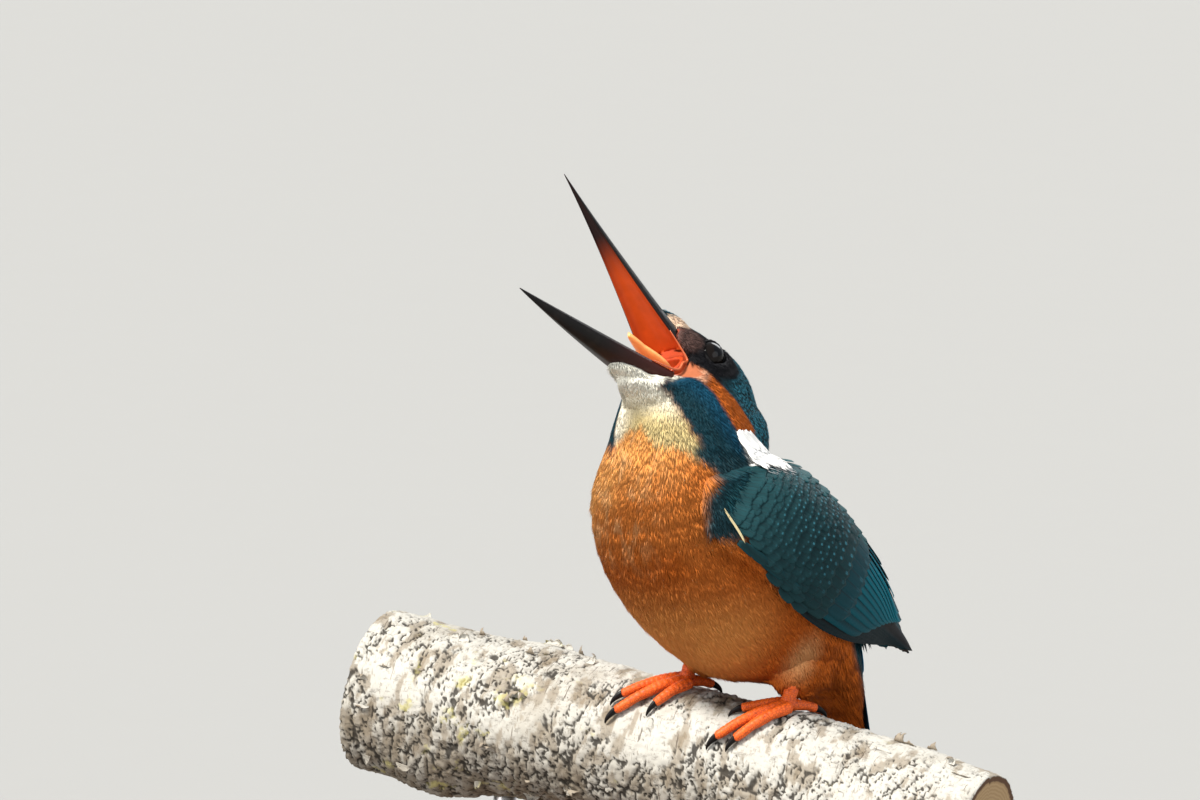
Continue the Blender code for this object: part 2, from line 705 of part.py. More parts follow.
def make_bird(finishes):
    shapes = hard_shapes()
    guides = {name: guide(bm, f"{name}_shape") for name, (bm, _) in shapes.items()}
    clearances = {name: grown(shape, f"{name}_room", GAP) for name, shape in guides.items()}
    for name, shape, space in (
        ("bill_upper", upper_bill_shape(0.0), lift_matrix()),
        ("bill_lower", lower_bill_shape(0.0), jaw_matrix()),
    ):
        unhollowed = guide(placed(shape, head_matrix() @ space), f"{name}_unhollowed")
        clearances[name] = grown(unhollowed, f"{name}_room", GAP)
    for word in ("left", "right"):
        cut(guides[f"wing_{word}"], clearances["tail"])
    for name, (_, finish) in shapes.items():
        object_of(tidied(evaluated_copy(guides[name], name)), name, finishes[finish], BIRD)

    for name, foot in made_feet(clearances).items():
        clearances[name] = grown(foot, f"{name}_room", GAP)
        object_of(tidied(evaluated_copy(foot, name)), name, finishes["red"], BIRD)

    rest = part_thighs(made_flesh(clearances), finishes["orange"])
    head, under = parted(rest, HEAD_CUT)
    neck, trunk = parted(under, NECK_CUT)
    object_of(tidied(head), "head", finishes["teal"], BIRD)
    object_of(tidied(neck), "neck", finishes["cream"], BIRD)
    object_of(tidied(trunk), "trunk", finishes["orange"], BIRD)


def main():
    finishes = {
        "horn": material("bill_horn", (0.02, 0.018, 0.02), 0.35),
        "mouth": material("mouth_red", (0.8, 0.2, 0.08), 0.45),
        "eye": material("eye_dark", (0.01, 0.008, 0.008), 0.05),
        "orange": material("breast_orange", (0.75, 0.25, 0.05), 0.8),
        "cream": material("throat_cream", (0.8, 0.75, 0.6), 0.8),
        "teal": material("wing_teal", (0.02, 0.16, 0.19), 0.6),
        "blue": material("tail_blue", (0.01, 0.05, 0.16), 0.6),
        "red": material("leg_red", (0.8, 0.13, 0.03), 0.5),
    }
    wood = material("base_wood", (0.16, 0.1, 0.06), 0.45)
    steel = material("rod_steel", (0.6, 0.6, 0.6), 0.3, 1.0)
    bark = material("birch_bark", (0.7, 0.68, 0.64), 0.8)
    make_perch(bark)
    make_stand(wood, steel)
    make_bird(finishes)


clear_scene()
KINGFISHER = new_collection("kingfisher")
GUIDES = new_collection("guides", hidden=True)
BIRD = bpy.data.objects.new("bird", None)
KINGFISHER.objects.link(BIRD)
BIRD.matrix_world = Matrix.Scale(MM, 4) @ bird_matrix() @ Matrix.Scale(1 / MM, 4)
main()
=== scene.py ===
"""The looks of the kingfisher, its birch limb and its stand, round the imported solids.

Sizes are in millimetres, in the same frames as the solids: the perch's, the bird's on top of it, the head's
halfway between the corners of the gape, and the open jaw's. A mesh is turned to metres of the row frame as it
is made.
"""

import itertools
import math

import bmesh
import bpy
import numpy as np
from mathutils import Matrix, Vector, noise
from mathutils.bvhtree import BVHTree


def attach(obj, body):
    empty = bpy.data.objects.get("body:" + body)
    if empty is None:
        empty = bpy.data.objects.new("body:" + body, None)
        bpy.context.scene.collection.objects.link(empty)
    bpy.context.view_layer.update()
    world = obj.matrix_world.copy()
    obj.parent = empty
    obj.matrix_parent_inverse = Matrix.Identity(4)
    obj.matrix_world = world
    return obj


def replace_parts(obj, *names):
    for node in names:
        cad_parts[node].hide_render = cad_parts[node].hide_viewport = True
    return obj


MM = 0.001
SEED = 11
SIDES = ((1, "left"), (-1, "right"))

# Stand
BASE_LENGTH, BASE_DEPTH, BASE_HEIGHT, BASE_CORNER = 156.0, 114.0, 12.0, 10.0
ROD_RADIUS, ROD_PLACES, ROD_SEAT = 2.5, (-42.0, 42.0), 7.0

# Perch
PERCH_LENGTH, PERCH_THICK, PERCH_THIN = 148.0, 17.4, 15.2
PERCH_SLOPE, PERCH_HEIGHT, PERCH_SET_BACK, PERCH_BOW = math.radians(8.6), 62.0, 10.0, 1.6
PERCH_KNOTS = (  # place along the axis, angle from the top, height, reach along, reach round
    (-34.0, math.radians(-40), 0.9, 11.0, 0.55),
    (30.0, math.radians(10), 1.4, 9.0, 0.6),
    (-52.0, math.radians(150), 3.0, 10.0, 0.6),
    (58.0, math.radians(-80), 1.8, 9.0, 0.5),
)
CURL_COUNT, CURL_THICK = 170, 0.09
CUT_RINGS = (0.06, 0.3, 0.6, 0.905, 0.93, 0.985)  # shares of the limb's radius across its cut ends
BIRD_PLACE, HEADING = 14.0, math.radians(65)

# Left wing, from the bend to the longest primary: upper edge x, y, z, lower edge x, y, z, bulge, thickness
WING_STATIONS = np.array((
    (20.0, 12.0, 55.0, 25.0, 17.5, 50.0, 1.0, 2.0),
    (9.0, 9.5, 55.8, 26.0, 20.5, 42.0, 4.0, 4.5),
    (-2.0, 6.5, 52.0, 19.5, 23.8, 36.0, 6.5, 5.5),
    (-11.0, 4.0, 47.0, 10.5, 24.0, 29.0, 7.5, 5.5),
    (-19.5, 3.0, 40.3, 1.5, 23.2, 22.3, 7.2, 5.0),
    (-27.0, 2.2, 33.0, -9.0, 19.8, 17.3, 5.4, 4.2),
    (-33.6, 1.8, 24.8, -20.4, 14.3, 13.2, 3.6, 3.2),
    (-39.0, 1.8, 16.5, -32.5, 7.4, 9.4, 1.0, 2.0),
    (-42.8, 2.2, 7.8, -41.8, 3.8, 6.0, 0.2, 1.0),
))
WING_EDGE = 0.6
WING_UNIT = 10.8  # about how long one station of the wing is

# Tail
TAIL_ROOT, TAIL_TIP = np.array((-27.0, 0.0, 15.0)), np.array((-30.5, 0.0, -21.5))

# Feet
FOOT_PLACES, FOOT_AHEAD = {1: 11.4, -1: -13.2}, 3.0
TARSUS_RADIUS, TARSUS_LEAN = 1.45, np.array((-3.6, 0.0, 8.5))
TOE_RADIUS, TOE_AIM, TOE_GAP = 1.35, math.radians(38), 0.3
TOES = (  # name, degrees it spreads outwards, length, step sideways, joints
    ("middle", 0.0, 17.0, 0.0, 3.0), ("outer", 5.0, 14.0, 1.8, 3.0),
    ("inner", -13.0, 9.5, -1.8, 2.0), ("hind", 176.0, 7.0, 0.0, 1.5),
)
CLAW_LENGTH, CLAW_RADIUS, CLAW_CURVE = 4.6, 0.85, math.radians(75)

# Head
GAPE_PLACE = (19.4, -2.0, 73.5)
HEAD_TURN, HEAD_PITCH, HEAD_ROLL = math.radians(-11.4), math.radians(58.4), math.radians(33.6)
JAW_OPEN, JAW_HINGE = math.radians(31.6), Vector((-9.0, 0.0, -3.0))
UPPER_LIFT, LIFT_HINGE = math.radians(2.2), Vector((-6.0, 0.0, 5.0))
BILL_LENGTH, BILL_HOLLOW = 48.5, 0.42
UPPER_HALF_WIDTH, UPPER_HEIGHT = (5.3, 1.45), (5.7, 1.2)  # size at the base, power of its fall to the tip
LOWER_HALF_WIDTH, LOWER_HEIGHT = (5.1, 1.1), (2.4, 0.85)
EYE_RADIUS, EYE_PLACE = 3.35, np.array((-2.6, 6.9, 4.8))
TONGUE_LENGTH, TONGUE_HEIGHT, TONGUE_RISE, TONGUE_THICK = 15.0, 1.5, 4.1, 1.3

WINGS = ("wing_left", "wing_right")
FLESH = ("head", "neck", "trunk", "thigh_left", "thigh_right", *WINGS)
FLESH_GROWTH, SKIN_VOXEL, TOE_VOXEL = 0.22, 0.6, 0.17
BODY_COAT, HEAD_COAT, FACE_COAT, WING_COAT = 0.95, 0.65, 0.35, 0.6  # how deep the skin lies in the solids
TUFT_REACH, TUFT_GIRTH, TUFT_RISE, TUFT_HEIGHT, TUFT_PATCH = 3.4, 0.34, 7.5, 0.14, 0.003
VANE_COLUMNS, PLUMES = 7, 150
WING_CELLS, PATCH_CELLS, TAIL_CELLS = 22, 13, 6  # cells along a side of the square maps of vanes

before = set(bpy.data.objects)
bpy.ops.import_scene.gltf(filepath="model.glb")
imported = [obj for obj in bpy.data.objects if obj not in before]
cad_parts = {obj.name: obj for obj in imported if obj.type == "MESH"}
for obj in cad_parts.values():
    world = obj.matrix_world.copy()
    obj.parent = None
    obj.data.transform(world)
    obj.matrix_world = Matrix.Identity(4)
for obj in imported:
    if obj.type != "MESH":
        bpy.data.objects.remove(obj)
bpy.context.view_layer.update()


# ---------------------------------------------------------------- frames and shapes


def perch_radius(along, angle):
    share = along / PERCH_LENGTH + 0.5
    radius = PERCH_THICK + (PERCH_THIN - PERCH_THICK) * share
    radius = radius + 0.45 * np.sin(2 * angle + 0.05 * along) + 0.35 * np.sin(3 * angle - 0.08 * along + 1.0)
    for place, turn, height, reach, spread in PERCH_KNOTS:
        apart = (np.mod(angle - turn + np.pi, 2 * np.pi) - np.pi) / spread
        radius = radius + height * np.exp(-(((along - place) / reach) ** 2) - apart**2)
    return radius


def perch_points(along, angle, out=0.0):
    """Points on the limb's bark, or out from it, in the perch's frame."""
    along, angle = np.broadcast_arrays(np.asarray(along, float), np.asarray(angle, float))
    radius = perch_radius(along, angle) + out
    bow = PERCH_BOW * (1 - (2 * along / PERCH_LENGTH) ** 2)
    return np.stack([along, -radius * np.sin(angle), bow + radius * np.cos(angle)], -1)


def about(hinge, turn):
    return Matrix.Translation(hinge) @ Matrix.Rotation(turn, 4, "Y") @ Matrix.Translation(-hinge)


def moved(points, matrix):
    grid = np.array(matrix)
    return np.asarray(points, float) @ grid[:3, :3].T + grid[:3, 3]


def turned(vectors, matrix):
    return np.asarray(vectors, float) @ np.array(matrix)[:3, :3].T


PERCH = Matrix.Translation((0, PERCH_SET_BACK, PERCH_HEIGHT + math.tan(PERCH_SLOPE) * BIRD_PLACE))
PERCH = PERCH @ Matrix.Rotation(PERCH_SLOPE, 4, "Y")
BIRD = Matrix.Translation(PERCH @ Vector(perch_points(BIRD_PLACE, 0.0)))
BIRD = BIRD @ Matrix.Rotation(math.pi + HEADING, 4, "Z")
HEAD = Matrix.Translation(GAPE_PLACE) @ Matrix.Rotation(HEAD_TURN, 4, "Z")
HEAD = HEAD @ Matrix.Rotation(-HEAD_PITCH, 4, "Y") @ Matrix.Rotation(HEAD_ROLL, 4, "X")
JAW = HEAD @ about(JAW_HINGE, JAW_OPEN)
LIFTED = HEAD @ about(LIFT_HINGE, -UPPER_LIFT)
TO_BIRD, TO_HEAD = BIRD.inverted(), HEAD.inverted()


def unit(vectors):
    return vectors / np.maximum(np.linalg.norm(vectors, axis=-1, keepdims=True), 1e-9)


def soft(value, edge=0.5):
    """0 below -edge, 1 above edge, smooth between."""
    t = np.clip(value / (2 * edge) + 0.5, 0, 1)
    return t * t * (3 - 2 * t)


def round_turn(count):
    """Angles once round a circle, in a row."""
    return 2 * np.pi * np.arange(count) / count


def grid_faces(rows, columns, closed):
    """Quads of a grid of points, row by row. A closed grid's last column joins its first."""
    r = np.arange(rows - 1)[:, None]
    c = np.arange(columns if closed else columns - 1)[None, :]
    after = (c + 1) % columns
    corners = [r * columns + c, r * columns + after, (r + 1) * columns + after, (r + 1) * columns + c]
    return np.stack([np.broadcast_to(k, (rows - 1, c.shape[1])) for k in corners], -1).reshape(-1, 4)


class Shape:
    """Points and faces gathered from several closed forms, with values for each point."""

    def __init__(self):
        self.points, self.faces, self.values, self.count = [], [], {}, 0

    def add(self, points, faces, **values):
        points = np.asarray(points, float).reshape(-1, 3)
        self.points.append(points)
        self.faces += [tuple(face) for face in (np.asarray(faces) + self.count).tolist()]
        self.count += len(points)
        for name, value in values.items():
            value = np.asarray(value, float)
            if value.ndim == 0 or (value.ndim == 1 and len(value) in (2, 3) and len(points) != len(value)):
                value = np.broadcast_to(value, (len(points), *value.shape))
            self.values.setdefault(name, []).append(value)
        return self

    def loft(self, rings, **values):
        """A closed tube through rings, an array of rings by points by 3. Its ends close to their middles."""
        rows, sides = rings.shape[:2]
        faces = grid_faces(rows, sides, True)
        start, end = rings[0].mean(0), rings[-1].mean(0)
        points = np.concatenate([rings.reshape(-1, 3), [start, end]])
        first, last = rows * sides, rows * sides + 1
        near = np.arange(sides)
        after = (near + 1) % sides
        far = near + (rows - 1) * sides
        caps = [(first, int(b), int(a)) for a, b in zip(near, after)]
        caps += [(last, int(a), int(b)) for a, b in zip(far, after + (rows - 1) * sides)]
        spread = {}
        for name, value in values.items():
            value = np.asarray(value, float)
            if value.shape[:2] == (rows, sides):
                flat = value.reshape(rows * sides, *value.shape[2:])
                value = np.concatenate([flat, value[0].mean(0)[None], value[-1].mean(0)[None]])
            spread[name] = value
        before = self.count
        self.add(points, faces, **spread)
        self.faces += [tuple(k + before for k in cap) for cap in caps]
        return self

    def made(self, name, matrix, finish, slot):
        """The object, in metres of the row frame, with its values as point attributes."""
        mesh = self.mesh(name, matrix)
        for key, value in self.values.items():
            write(mesh, key, np.concatenate(value))
        return shown(mesh, name, finish)

    def mesh(self, name, matrix):
        """A mesh in metres whose faces look outwards."""
        mesh = bpy.data.meshes.new(name)
        mesh.from_pydata((moved(np.concatenate(self.points), matrix) * MM).tolist(), [], self.faces)
        bm = bmesh.new()
        bm.from_mesh(mesh)
        bmesh.ops.recalc_face_normals(bm, faces=bm.faces)
        bm.to_mesh(mesh)
        bm.free()
        return mesh


def write(mesh, name, values):
    """A point attribute: numbers, pairs or vectors, and colours where it is called pelt."""
    values = np.asarray(values, np.float32)
    width = 1 if values.ndim == 1 else values.shape[1]
    kind, key = {1: ("FLOAT", "value"), 2: ("FLOAT2", "vector"), 3: ("FLOAT_VECTOR", "vector")}[width]
    if name == "pelt":
        kind, key = "FLOAT_COLOR", "color"
        values = np.concatenate([values, np.ones((len(values), 1), np.float32)], 1)
    mesh.attributes.new(name, kind, "POINT").data.foreach_set(key, values.ravel())


def read(items, key, width):
    """A value of each item of a mesh, as rows of numbers."""
    found = np.empty(len(items) * width, np.float32)
    items.foreach_get(key, found)
    return found.reshape(-1, width).astype(float)


def linked(name, data):
    """A new object in the scene."""
    made = bpy.data.objects.new(name, data)
    bpy.context.scene.collection.objects.link(made)
    return made


def shown(mesh, name, finish):
    """A piece of the model: its finish, and what the frame has to know of it."""
    mesh.materials.clear()
    mesh.materials.append(finish)
    mesh.shade_smooth()
    made = linked(name, mesh)
    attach(made, "root")
    return made


def plain(obj):
    """A plain mesh of an object with its modifiers applied."""
    graph = bpy.context.evaluated_depsgraph_get()
    graph.update()
    return bpy.data.meshes.new_from_object(obj.evaluated_get(graph))


def discard(obj):
    mesh = obj.data
    bpy.data.objects.remove(obj)
    bpy.data.meshes.remove(mesh)


def remeshed(mesh, voxel, smoothing):
    """The mesh of one closed surface round all the closed forms of a mesh in metres."""
    obj = linked("fused", mesh)
    remesh = obj.modifiers.new("fuse", "REMESH")
    remesh.mode, remesh.voxel_size = "VOXEL", voxel * MM
    relax = obj.modifiers.new("relax", "SMOOTH")
    relax.factor, relax.iterations = 0.5, smoothing
    made = plain(obj)
    discard(obj)
    return made


# ---------------------------------------------------------------- shader nodes


class Sum:
    """A socket that adds Math nodes as an expression is written."""

    def __init__(self, nodes, socket):
        self.nodes, self.socket = nodes, socket

    def over(self, low, high):
        """0 at low or below, 1 at high or above, smooth between. low may be the larger."""
        smooth = {"interpolation_type": "SMOOTHSTEP"}
        return self.nodes.add("ShaderNodeMapRange", smooth, self, low, high, 0.0, 1.0)[0]


def math_method(operation, swapped=False):
    """A method of Sum that adds one Math node."""

    def method(self, *others):
        values = (*others, self) if swapped else (self, *others)
        return self.nodes.add("ShaderNodeMath", {"operation": operation}, *values)[0]

    return method


for method_name, its_operation in (
    ("__add__", "ADD"), ("__radd__", "ADD"), ("__sub__", "SUBTRACT"), ("__mul__", "MULTIPLY"),
    ("__rmul__", "MULTIPLY"), ("__pow__", "POWER"), ("__abs__", "ABSOLUTE"), ("sin", "SINE"),
):
    setattr(Sum, method_name, math_method(its_operation))
Sum.__rsub__ = math_method("SUBTRACT", swapped=True)


class Finish:
    """A material under construction."""

    def __init__(self, name, roughness=0.5, **sockets):
        self.material = bpy.data.materials.new(name)
        self.material.use_nodes = True
        self.tree = self.material.node_tree
        self.shader = self.tree.nodes["Principled BSDF"]
        self.shader.inputs["Roughness"].default_value = roughness
        for key, value in sockets.items():
            self.shader.inputs[key.replace("_", " ").title().replace("Ior", "IOR")].default_value = value

    def add(self, kind, settings=None, *values, **named):
        """A node: its settings, its inputs in order or by name, and its outputs back."""
        node = self.tree.nodes.new(kind)
        for key, value in (settings or {}).items():
            setattr(node, key, value)
        for index, value in [*enumerate(values), *named.items()]:
            if value is None:
                continue
            socket = node.inputs[index.replace("_", " ") if isinstance(index, str) else index]
            if isinstance(value, Sum):
                self.tree.links.new(value.socket, socket)
            else:
                socket.default_value = value
        return [Sum(self, output) for output in node.outputs]

    def place(self):
        return self.add("ShaderNodeTexCoord")[3]

    def scaled(self, place, scale):
        return self.add("ShaderNodeMapping", None, place, None, None, scale)[0]

    def noise(self, place, scale, detail=3.0, roughness=0.55, distortion=0.0):
        sizes = {"Scale": scale, "Detail": detail, "Roughness": roughness, "Distortion": distortion}
        return self.add("ShaderNodeTexNoise", None, Vector=place, **sizes)[0]

    def cells(self, place, scale, feature="F1"):
        return self.add("ShaderNodeTexVoronoi", {"feature": feature}, Vector=place, Scale=scale)[0]

    def attribute(self, name, output=2):
        return self.add("ShaderNodeAttribute", {"attribute_name": name})[output]

    def parts(self, vector):
        return self.add("ShaderNodeSeparateXYZ", None, vector)

    def mix(self, share, a, b):
        """Colours a and b, plain or linked, by share."""
        a, b = (value if isinstance(value, Sum) else (*value, 1.0) for value in (a, b))
        return self.add("ShaderNodeMix", {"data_type": "RGBA"}, share, *[None] * 5, a, b)[2]

    def layered(self, colour, *layers):
        """A colour with others laid over it, each by its share."""
        for share, over in layers:
            colour = self.mix(share, colour, over)
        return colour

    def lit(self, colour, by):
        """A colour made lighter or darker by a linked number."""
        return self.add("ShaderNodeVectorMath", {"operation": "SCALE"}, Vector=colour, Scale=by)[0]

    def bump(self, height, strength, distance):
        made = self.add("ShaderNodeBump", None, Strength=strength, Distance=distance * MM, Height=height)[0]
        self.tree.links.new(made.socket, self.shader.inputs["Normal"])

    def done(self, colour, roughness=None):
        self.tree.links.new(colour.socket, self.shader.inputs["Base Color"])
        if roughness is not None:
            self.tree.links.new(roughness.socket, self.shader.inputs["Roughness"])
        return self.material


# ---------------------------------------------------------------- markings

LIT_ORANGE, ORANGE, DEEP = (0.92, 0.41, 0.115), (0.66, 0.2, 0.038), (0.52, 0.115, 0.012)
PALE, CREAM, WHITE = (0.82, 0.45, 0.2), (0.62, 0.49, 0.23), (0.93, 0.92, 0.9)
WING_TONES = np.array((  # cyan, teal, dark, shoulder, sooty, pale
    (0.005, 0.17, 0.23), (0.006, 0.052, 0.068), (0.009, 0.034, 0.039),
    (0.016, 0.074, 0.082), (0.008, 0.008, 0.009), (0.5, 0.42, 0.24),
))
TAIL_TONE, TAIL_EDGE, RUMP_TONE, RUMP_EDGE = np.array((
    (0.01, 0.04, 0.08), (0.014, 0.1, 0.2), (0.02, 0.28, 0.5), (0.04, 0.45, 0.7),
))
BARRED, SPOTTED, SHAFT = (0.06, 0.33, 0.46), (0.06, 0.26, 0.34), (0.012, 0.012, 0.014)
THROAT_LIT, CHIN = (0.86, 0.8, 0.66), (0.86, 0.83, 0.72)
EAR, EAR_PALE, SPOT = (0.56, 0.13, 0.018), (0.6, 0.36, 0.24), (0.8, 0.58, 0.42)
TEAL, BLUE, AZURE = (0.008, 0.045, 0.056), (0.008, 0.07, 0.13), (0.016, 0.3, 0.52)
BLACK, LORE = (0.008, 0.008, 0.01), (0.105, 0.06, 0.052)
SHOULDER, GAPE = (0.018, 0.046, 0.056), (0.46, 0.14, 0.06)
CHEEK, CROWN = (0.009, 0.038, 0.052), (0.006, 0.03, 0.038)
MOUTH, WING_BACK_SHADE = (0.45, 0.06, 0.018), (0.05, 0.035, 0.028)


def uneven_at(points, size, octaves, rough):
    return np.array([noise.fractal(Vector(p), rough, 2.0, octaves) for p in (points / size).tolist()])


def waves(points, size, octaves=2):
    """A gentle, repeatable unevenness between about -1 and 1."""
    return 1.6 * uneven_at(points, size, octaves, 1.0)


def blend(colour, mask, tone):
    """A colour for each point, with a tone laid over it by a mask."""
    mask = mask[:, None]
    return colour * (1 - mask) + np.array(tone) * mask


def ear_top(a):
    return np.interp(a, (-18.6, -17.8, -15.0, -10.9, -4.1, -1.6), (-2.6, -0.5, 0.2, -0.9, -1.8, -1.2))


def ear_bottom(a):
    return np.interp(a, (-14.1, -8.5, -5.7, -0.5, 1.0, 2.4, 5.0), (-7.3, -5.9, -4.9, -5.0, -5.4, -6.3, -7.8))


def crown_low(a):
    return np.interp(a, (-30, -18, -13, -9, -5, -2.6, 2, 6), (-1.5, -2.4, -0.4, 0.6, 3.6, 7.4, 7.2, 6.0))


def ear_stripe(a, c):
    """The rufous stripe from the gape to the white patch, in the head's frame, and its share along."""
    along = np.clip((-1.0 - a) / 14.0, -0.2, 1.3)
    inside = soft(ear_top(a) - c, 0.4) * soft(c - ear_bottom(a), 0.4)
    return inside * soft(a + 14.1 + 0.96 * (c + 7.3), 0.5) * soft(along + 0.03, 0.05), along


def gape_skin(head):
    """1 on the bare skin behind the corners of the gape."""
    a, b, c = head.T
    return soft(1.0 - np.hypot((a + 0.4) / 1.9, (c + 3.1) / 2.1), 0.12) * soft(np.abs(b) - 3.8, 0.4)


WHITE_PATCHES = {  # in the bird's frame, the middle of the front edge and the upper and lower rear corners
    1: np.array(((11.2, 13.5, 61.0), (1.1, 17.7, 51.1), (12.2, 19.9, 52.7))),
    -1: np.array(((15.0, -12.5, 59.0), (1.1, -17.7, 51.1), (11.5, -19.9, 52.0))),
}


def patch_sides(side):
    """The middle of the white patch's front edge, the way along it and half its spread at the rear."""
    start, upper, lower = WHITE_PATCHES[side]
    return start, (upper + lower) / 2 - start, (upper - lower) / 2


def white_patch(points):
    """1 on the white patches behind the ears, ragged at their rear edges, at points of the bird's frame."""
    ragged = 0.06 * waves(points, 1.2)
    found = np.zeros(len(points))
    for side, _ in SIDES:
        start, along, spread = patch_sides(side)
        flat = np.stack([along[[0, 2]], spread[[0, 2]]], -1)
        share, off = np.linalg.inv(flat) @ (points - start)[:, [0, 2]].T
        inside = soft(0.5 + 0.5 * share - np.abs(off), 0.1) * soft(share, 0.05)
        inside = inside * soft(0.86 + ragged - share, 0.05) * soft(side * points[:, 1] - 8, 1.5)
        found = np.maximum(found, inside)
    return found


class Pelt:
    """The plumage at points of the bird's frame, painted one marking after another."""

    def __init__(self, points):
        self.points, self.head = points, moved(points, TO_HEAD)
        self.width, self.side = np.abs(points[:, 1]), np.abs(self.head[:, 1])
        self.uneven, self.broad = waves(points, 1.6), waves(points, 7.0)
        self.on_head = soft(points[:, 2] - 57.5, 1.5)
        self.colour = self.underparts()
        self.bars, self.gloss = np.zeros(len(points)), np.zeros(len(points))

    def paint(self, mask, tone, bar=0.0, shine=0.0):
        mask = np.clip(mask, 0, 1)
        self.colour = blend(self.colour, mask, tone)
        self.bars = self.bars * (1 - mask) + bar * mask
        self.gloss = self.gloss * (1 - mask) + shine * mask

    def underparts(self):
        """Orange, with painted light on the upper breast, its far side and the lower belly's front; deeper on
        the belly, with pale flecks and thighs.
        """
        x, y, z = self.points.T
        # painted light: LIT_ORANGE on the upper breast, reaching lower on its far side (y below 0), where the
        # light falls
        high = z - 49 - 0.75 * np.clip(y, -16, 16)
        colour = blend(np.array(ORANGE), soft(high + 3 * self.broad, 8), LIT_ORANGE)
        colour = blend(colour, soft(37 - z + 4 * self.broad, 9), DEEP)
        # painted bounce light from the limb on the front of the lower belly
        colour = blend(colour, 0.75 * (soft(26 - z, 9) * soft(x - 11, 8)), LIT_ORANGE)
        flecks = soft(waves(self.points * (1, 1, 0.6), 1.5, 3) + 0.5 * self.broad - 0.25, 0.3)
        flecks = flecks * soft(z - 36, 7) * soft(9 - y, 7)
        thigh = 0.75 * soft(3.8 - np.hypot(x + 2, 0.8 * (z - 12)), 3) * soft(self.width - 8, 3)
        return blend(colour, np.clip(0.6 * flecks + thigh, 0, 1), PALE)

    def throat_and_cheeks(self):
        """The pale throat between the blue stripes that run down from the bill, and the blue shoulders."""
        _, y, z = self.points.T
        a, b, c = self.head.T
        malar_edge = np.interp(a, (-14.0, -8.4, -2.2, 1.3, 2.4, 3.2), (11.0, 8.6, 6.2, 5.8, 4.8, 9.0))
        malar_edge = malar_edge + 0.3 * self.uneven + 3.0 * soft(-b, 2.0) * soft(-9.0 - c, 2.5)
        throat_low = np.interp(y, (-8.0, -5.3, 3.5, 7.2, 12.5, 14.6), (57.2, 58.5, 63.0, 60.2, 59.2, 57.6))
        throat = soft(z - throat_low - 0.5 * self.uneven, 0.9) * soft(malar_edge - self.side, 0.6)
        throat = throat * soft(-4.4 - c, 0.5)
        self.paint(self.on_head * soft(self.side - malar_edge + 0.6, 0.5), EAR)
        self.paint(throat, CREAM)
        # painted light: the throat's far side is painted whiter where the light falls on it
        self.paint(throat * soft(-y - 1, 4), THROAT_LIT)
        self.paint(throat * soft(z - 67, 4), CHIN)
        under_ear = ear_bottom(a) - c
        cheek = self.on_head * soft(self.side - malar_edge, 0.5) * soft(under_ear, 0.5) * soft(2.4 - a, 0.6)
        self.paint(self.shoulders(), SHOULDER, 0.1, 0.5)
        self.paint(cheek, CHEEK, 0.12, 0.6)
        self.paint(cheek * soft(3.4 - under_ear, 2.2), BLUE, 0.12, 0.6)

    def shoulders(self):
        """1 on the blue that comes round from the back on each side of the breast."""
        x, y, z = self.points.T
        beside = np.interp(z, (48.0, 56.0), (14.2, 6.0)) + np.where(y > 0, np.clip(z - 48.0, 0, 8) * 0.95, 0)
        shoulder = soft(self.width - beside + 0.5 * self.uneven, 0.9) * soft(z - 41.5, 1.5)
        left = np.interp(z, (50.0, 53.9, 56.2, 57.5, 59.0), (0.87, 0.99, 0.9, 0.79, 0.72))
        turned_from = np.where(y > 0, left, np.interp(z, (44.0, 58.0), (1.05, 0.7)))
        return shoulder * soft(60.5 - z, 1.5) * soft(np.arctan2(self.width, x - 10) - turned_from, 0.06)

    def back(self):
        """The blue-green mantle and rump, azure down the middle."""
        x, _, z = self.points.T
        back_line = 2.0 - 11.5 * soft(22 - z, 60)
        mantle = soft(back_line + 6.5 - x - 0.35 * (58 - np.clip(z, 0, 58)) + 0.2 * self.width, 1.5)
        mantle = mantle * soft(60.5 - z, 1.5) * soft(z + 4, 3)
        behind = soft(-21.0 - x + 0.5 * np.clip(z - 10, -10, 40), 2.0)
        upper = np.clip(np.maximum(mantle * soft(z - 30, 4), behind * soft(z - 2, 3)), 0, 1)
        self.paint(upper, TEAL, 0.1, 0.7)
        self.paint(upper * soft(6.5 - self.width + 0.6 * self.uneven, 1.2), AZURE, 0.0, 0.8)

    def crown(self):
        """The dark, barred cap and nape, over the rufous stripes and white patches behind the eyes."""
        a, _, c = self.head.T
        above = self.on_head * soft(c - ear_top(a), 0.4)
        self.paint(above, BLACK, 0, 0.3)
        self.paint(above * soft(-6.0 - a, 1.5), CROWN, 0.4, 0.6)
        crown = self.on_head * soft(c - crown_low(a) + 0.3 * self.uneven, 0.5)
        nape = self.on_head * soft(-13.5 - a, 0.8) * soft(c + 3.2, 0.6)
        self.paint(np.maximum(crown, nape), CROWN, 1.0, 0.6)
        stripe, along = ear_stripe(a, c)
        self.paint(stripe * self.on_head * soft(self.side - 4.5, 0.8), EAR)
        self.paint(stripe * self.on_head * soft(0.13 - along, 0.06), EAR_PALE)
        self.paint(white_patch(self.points), WHITE)

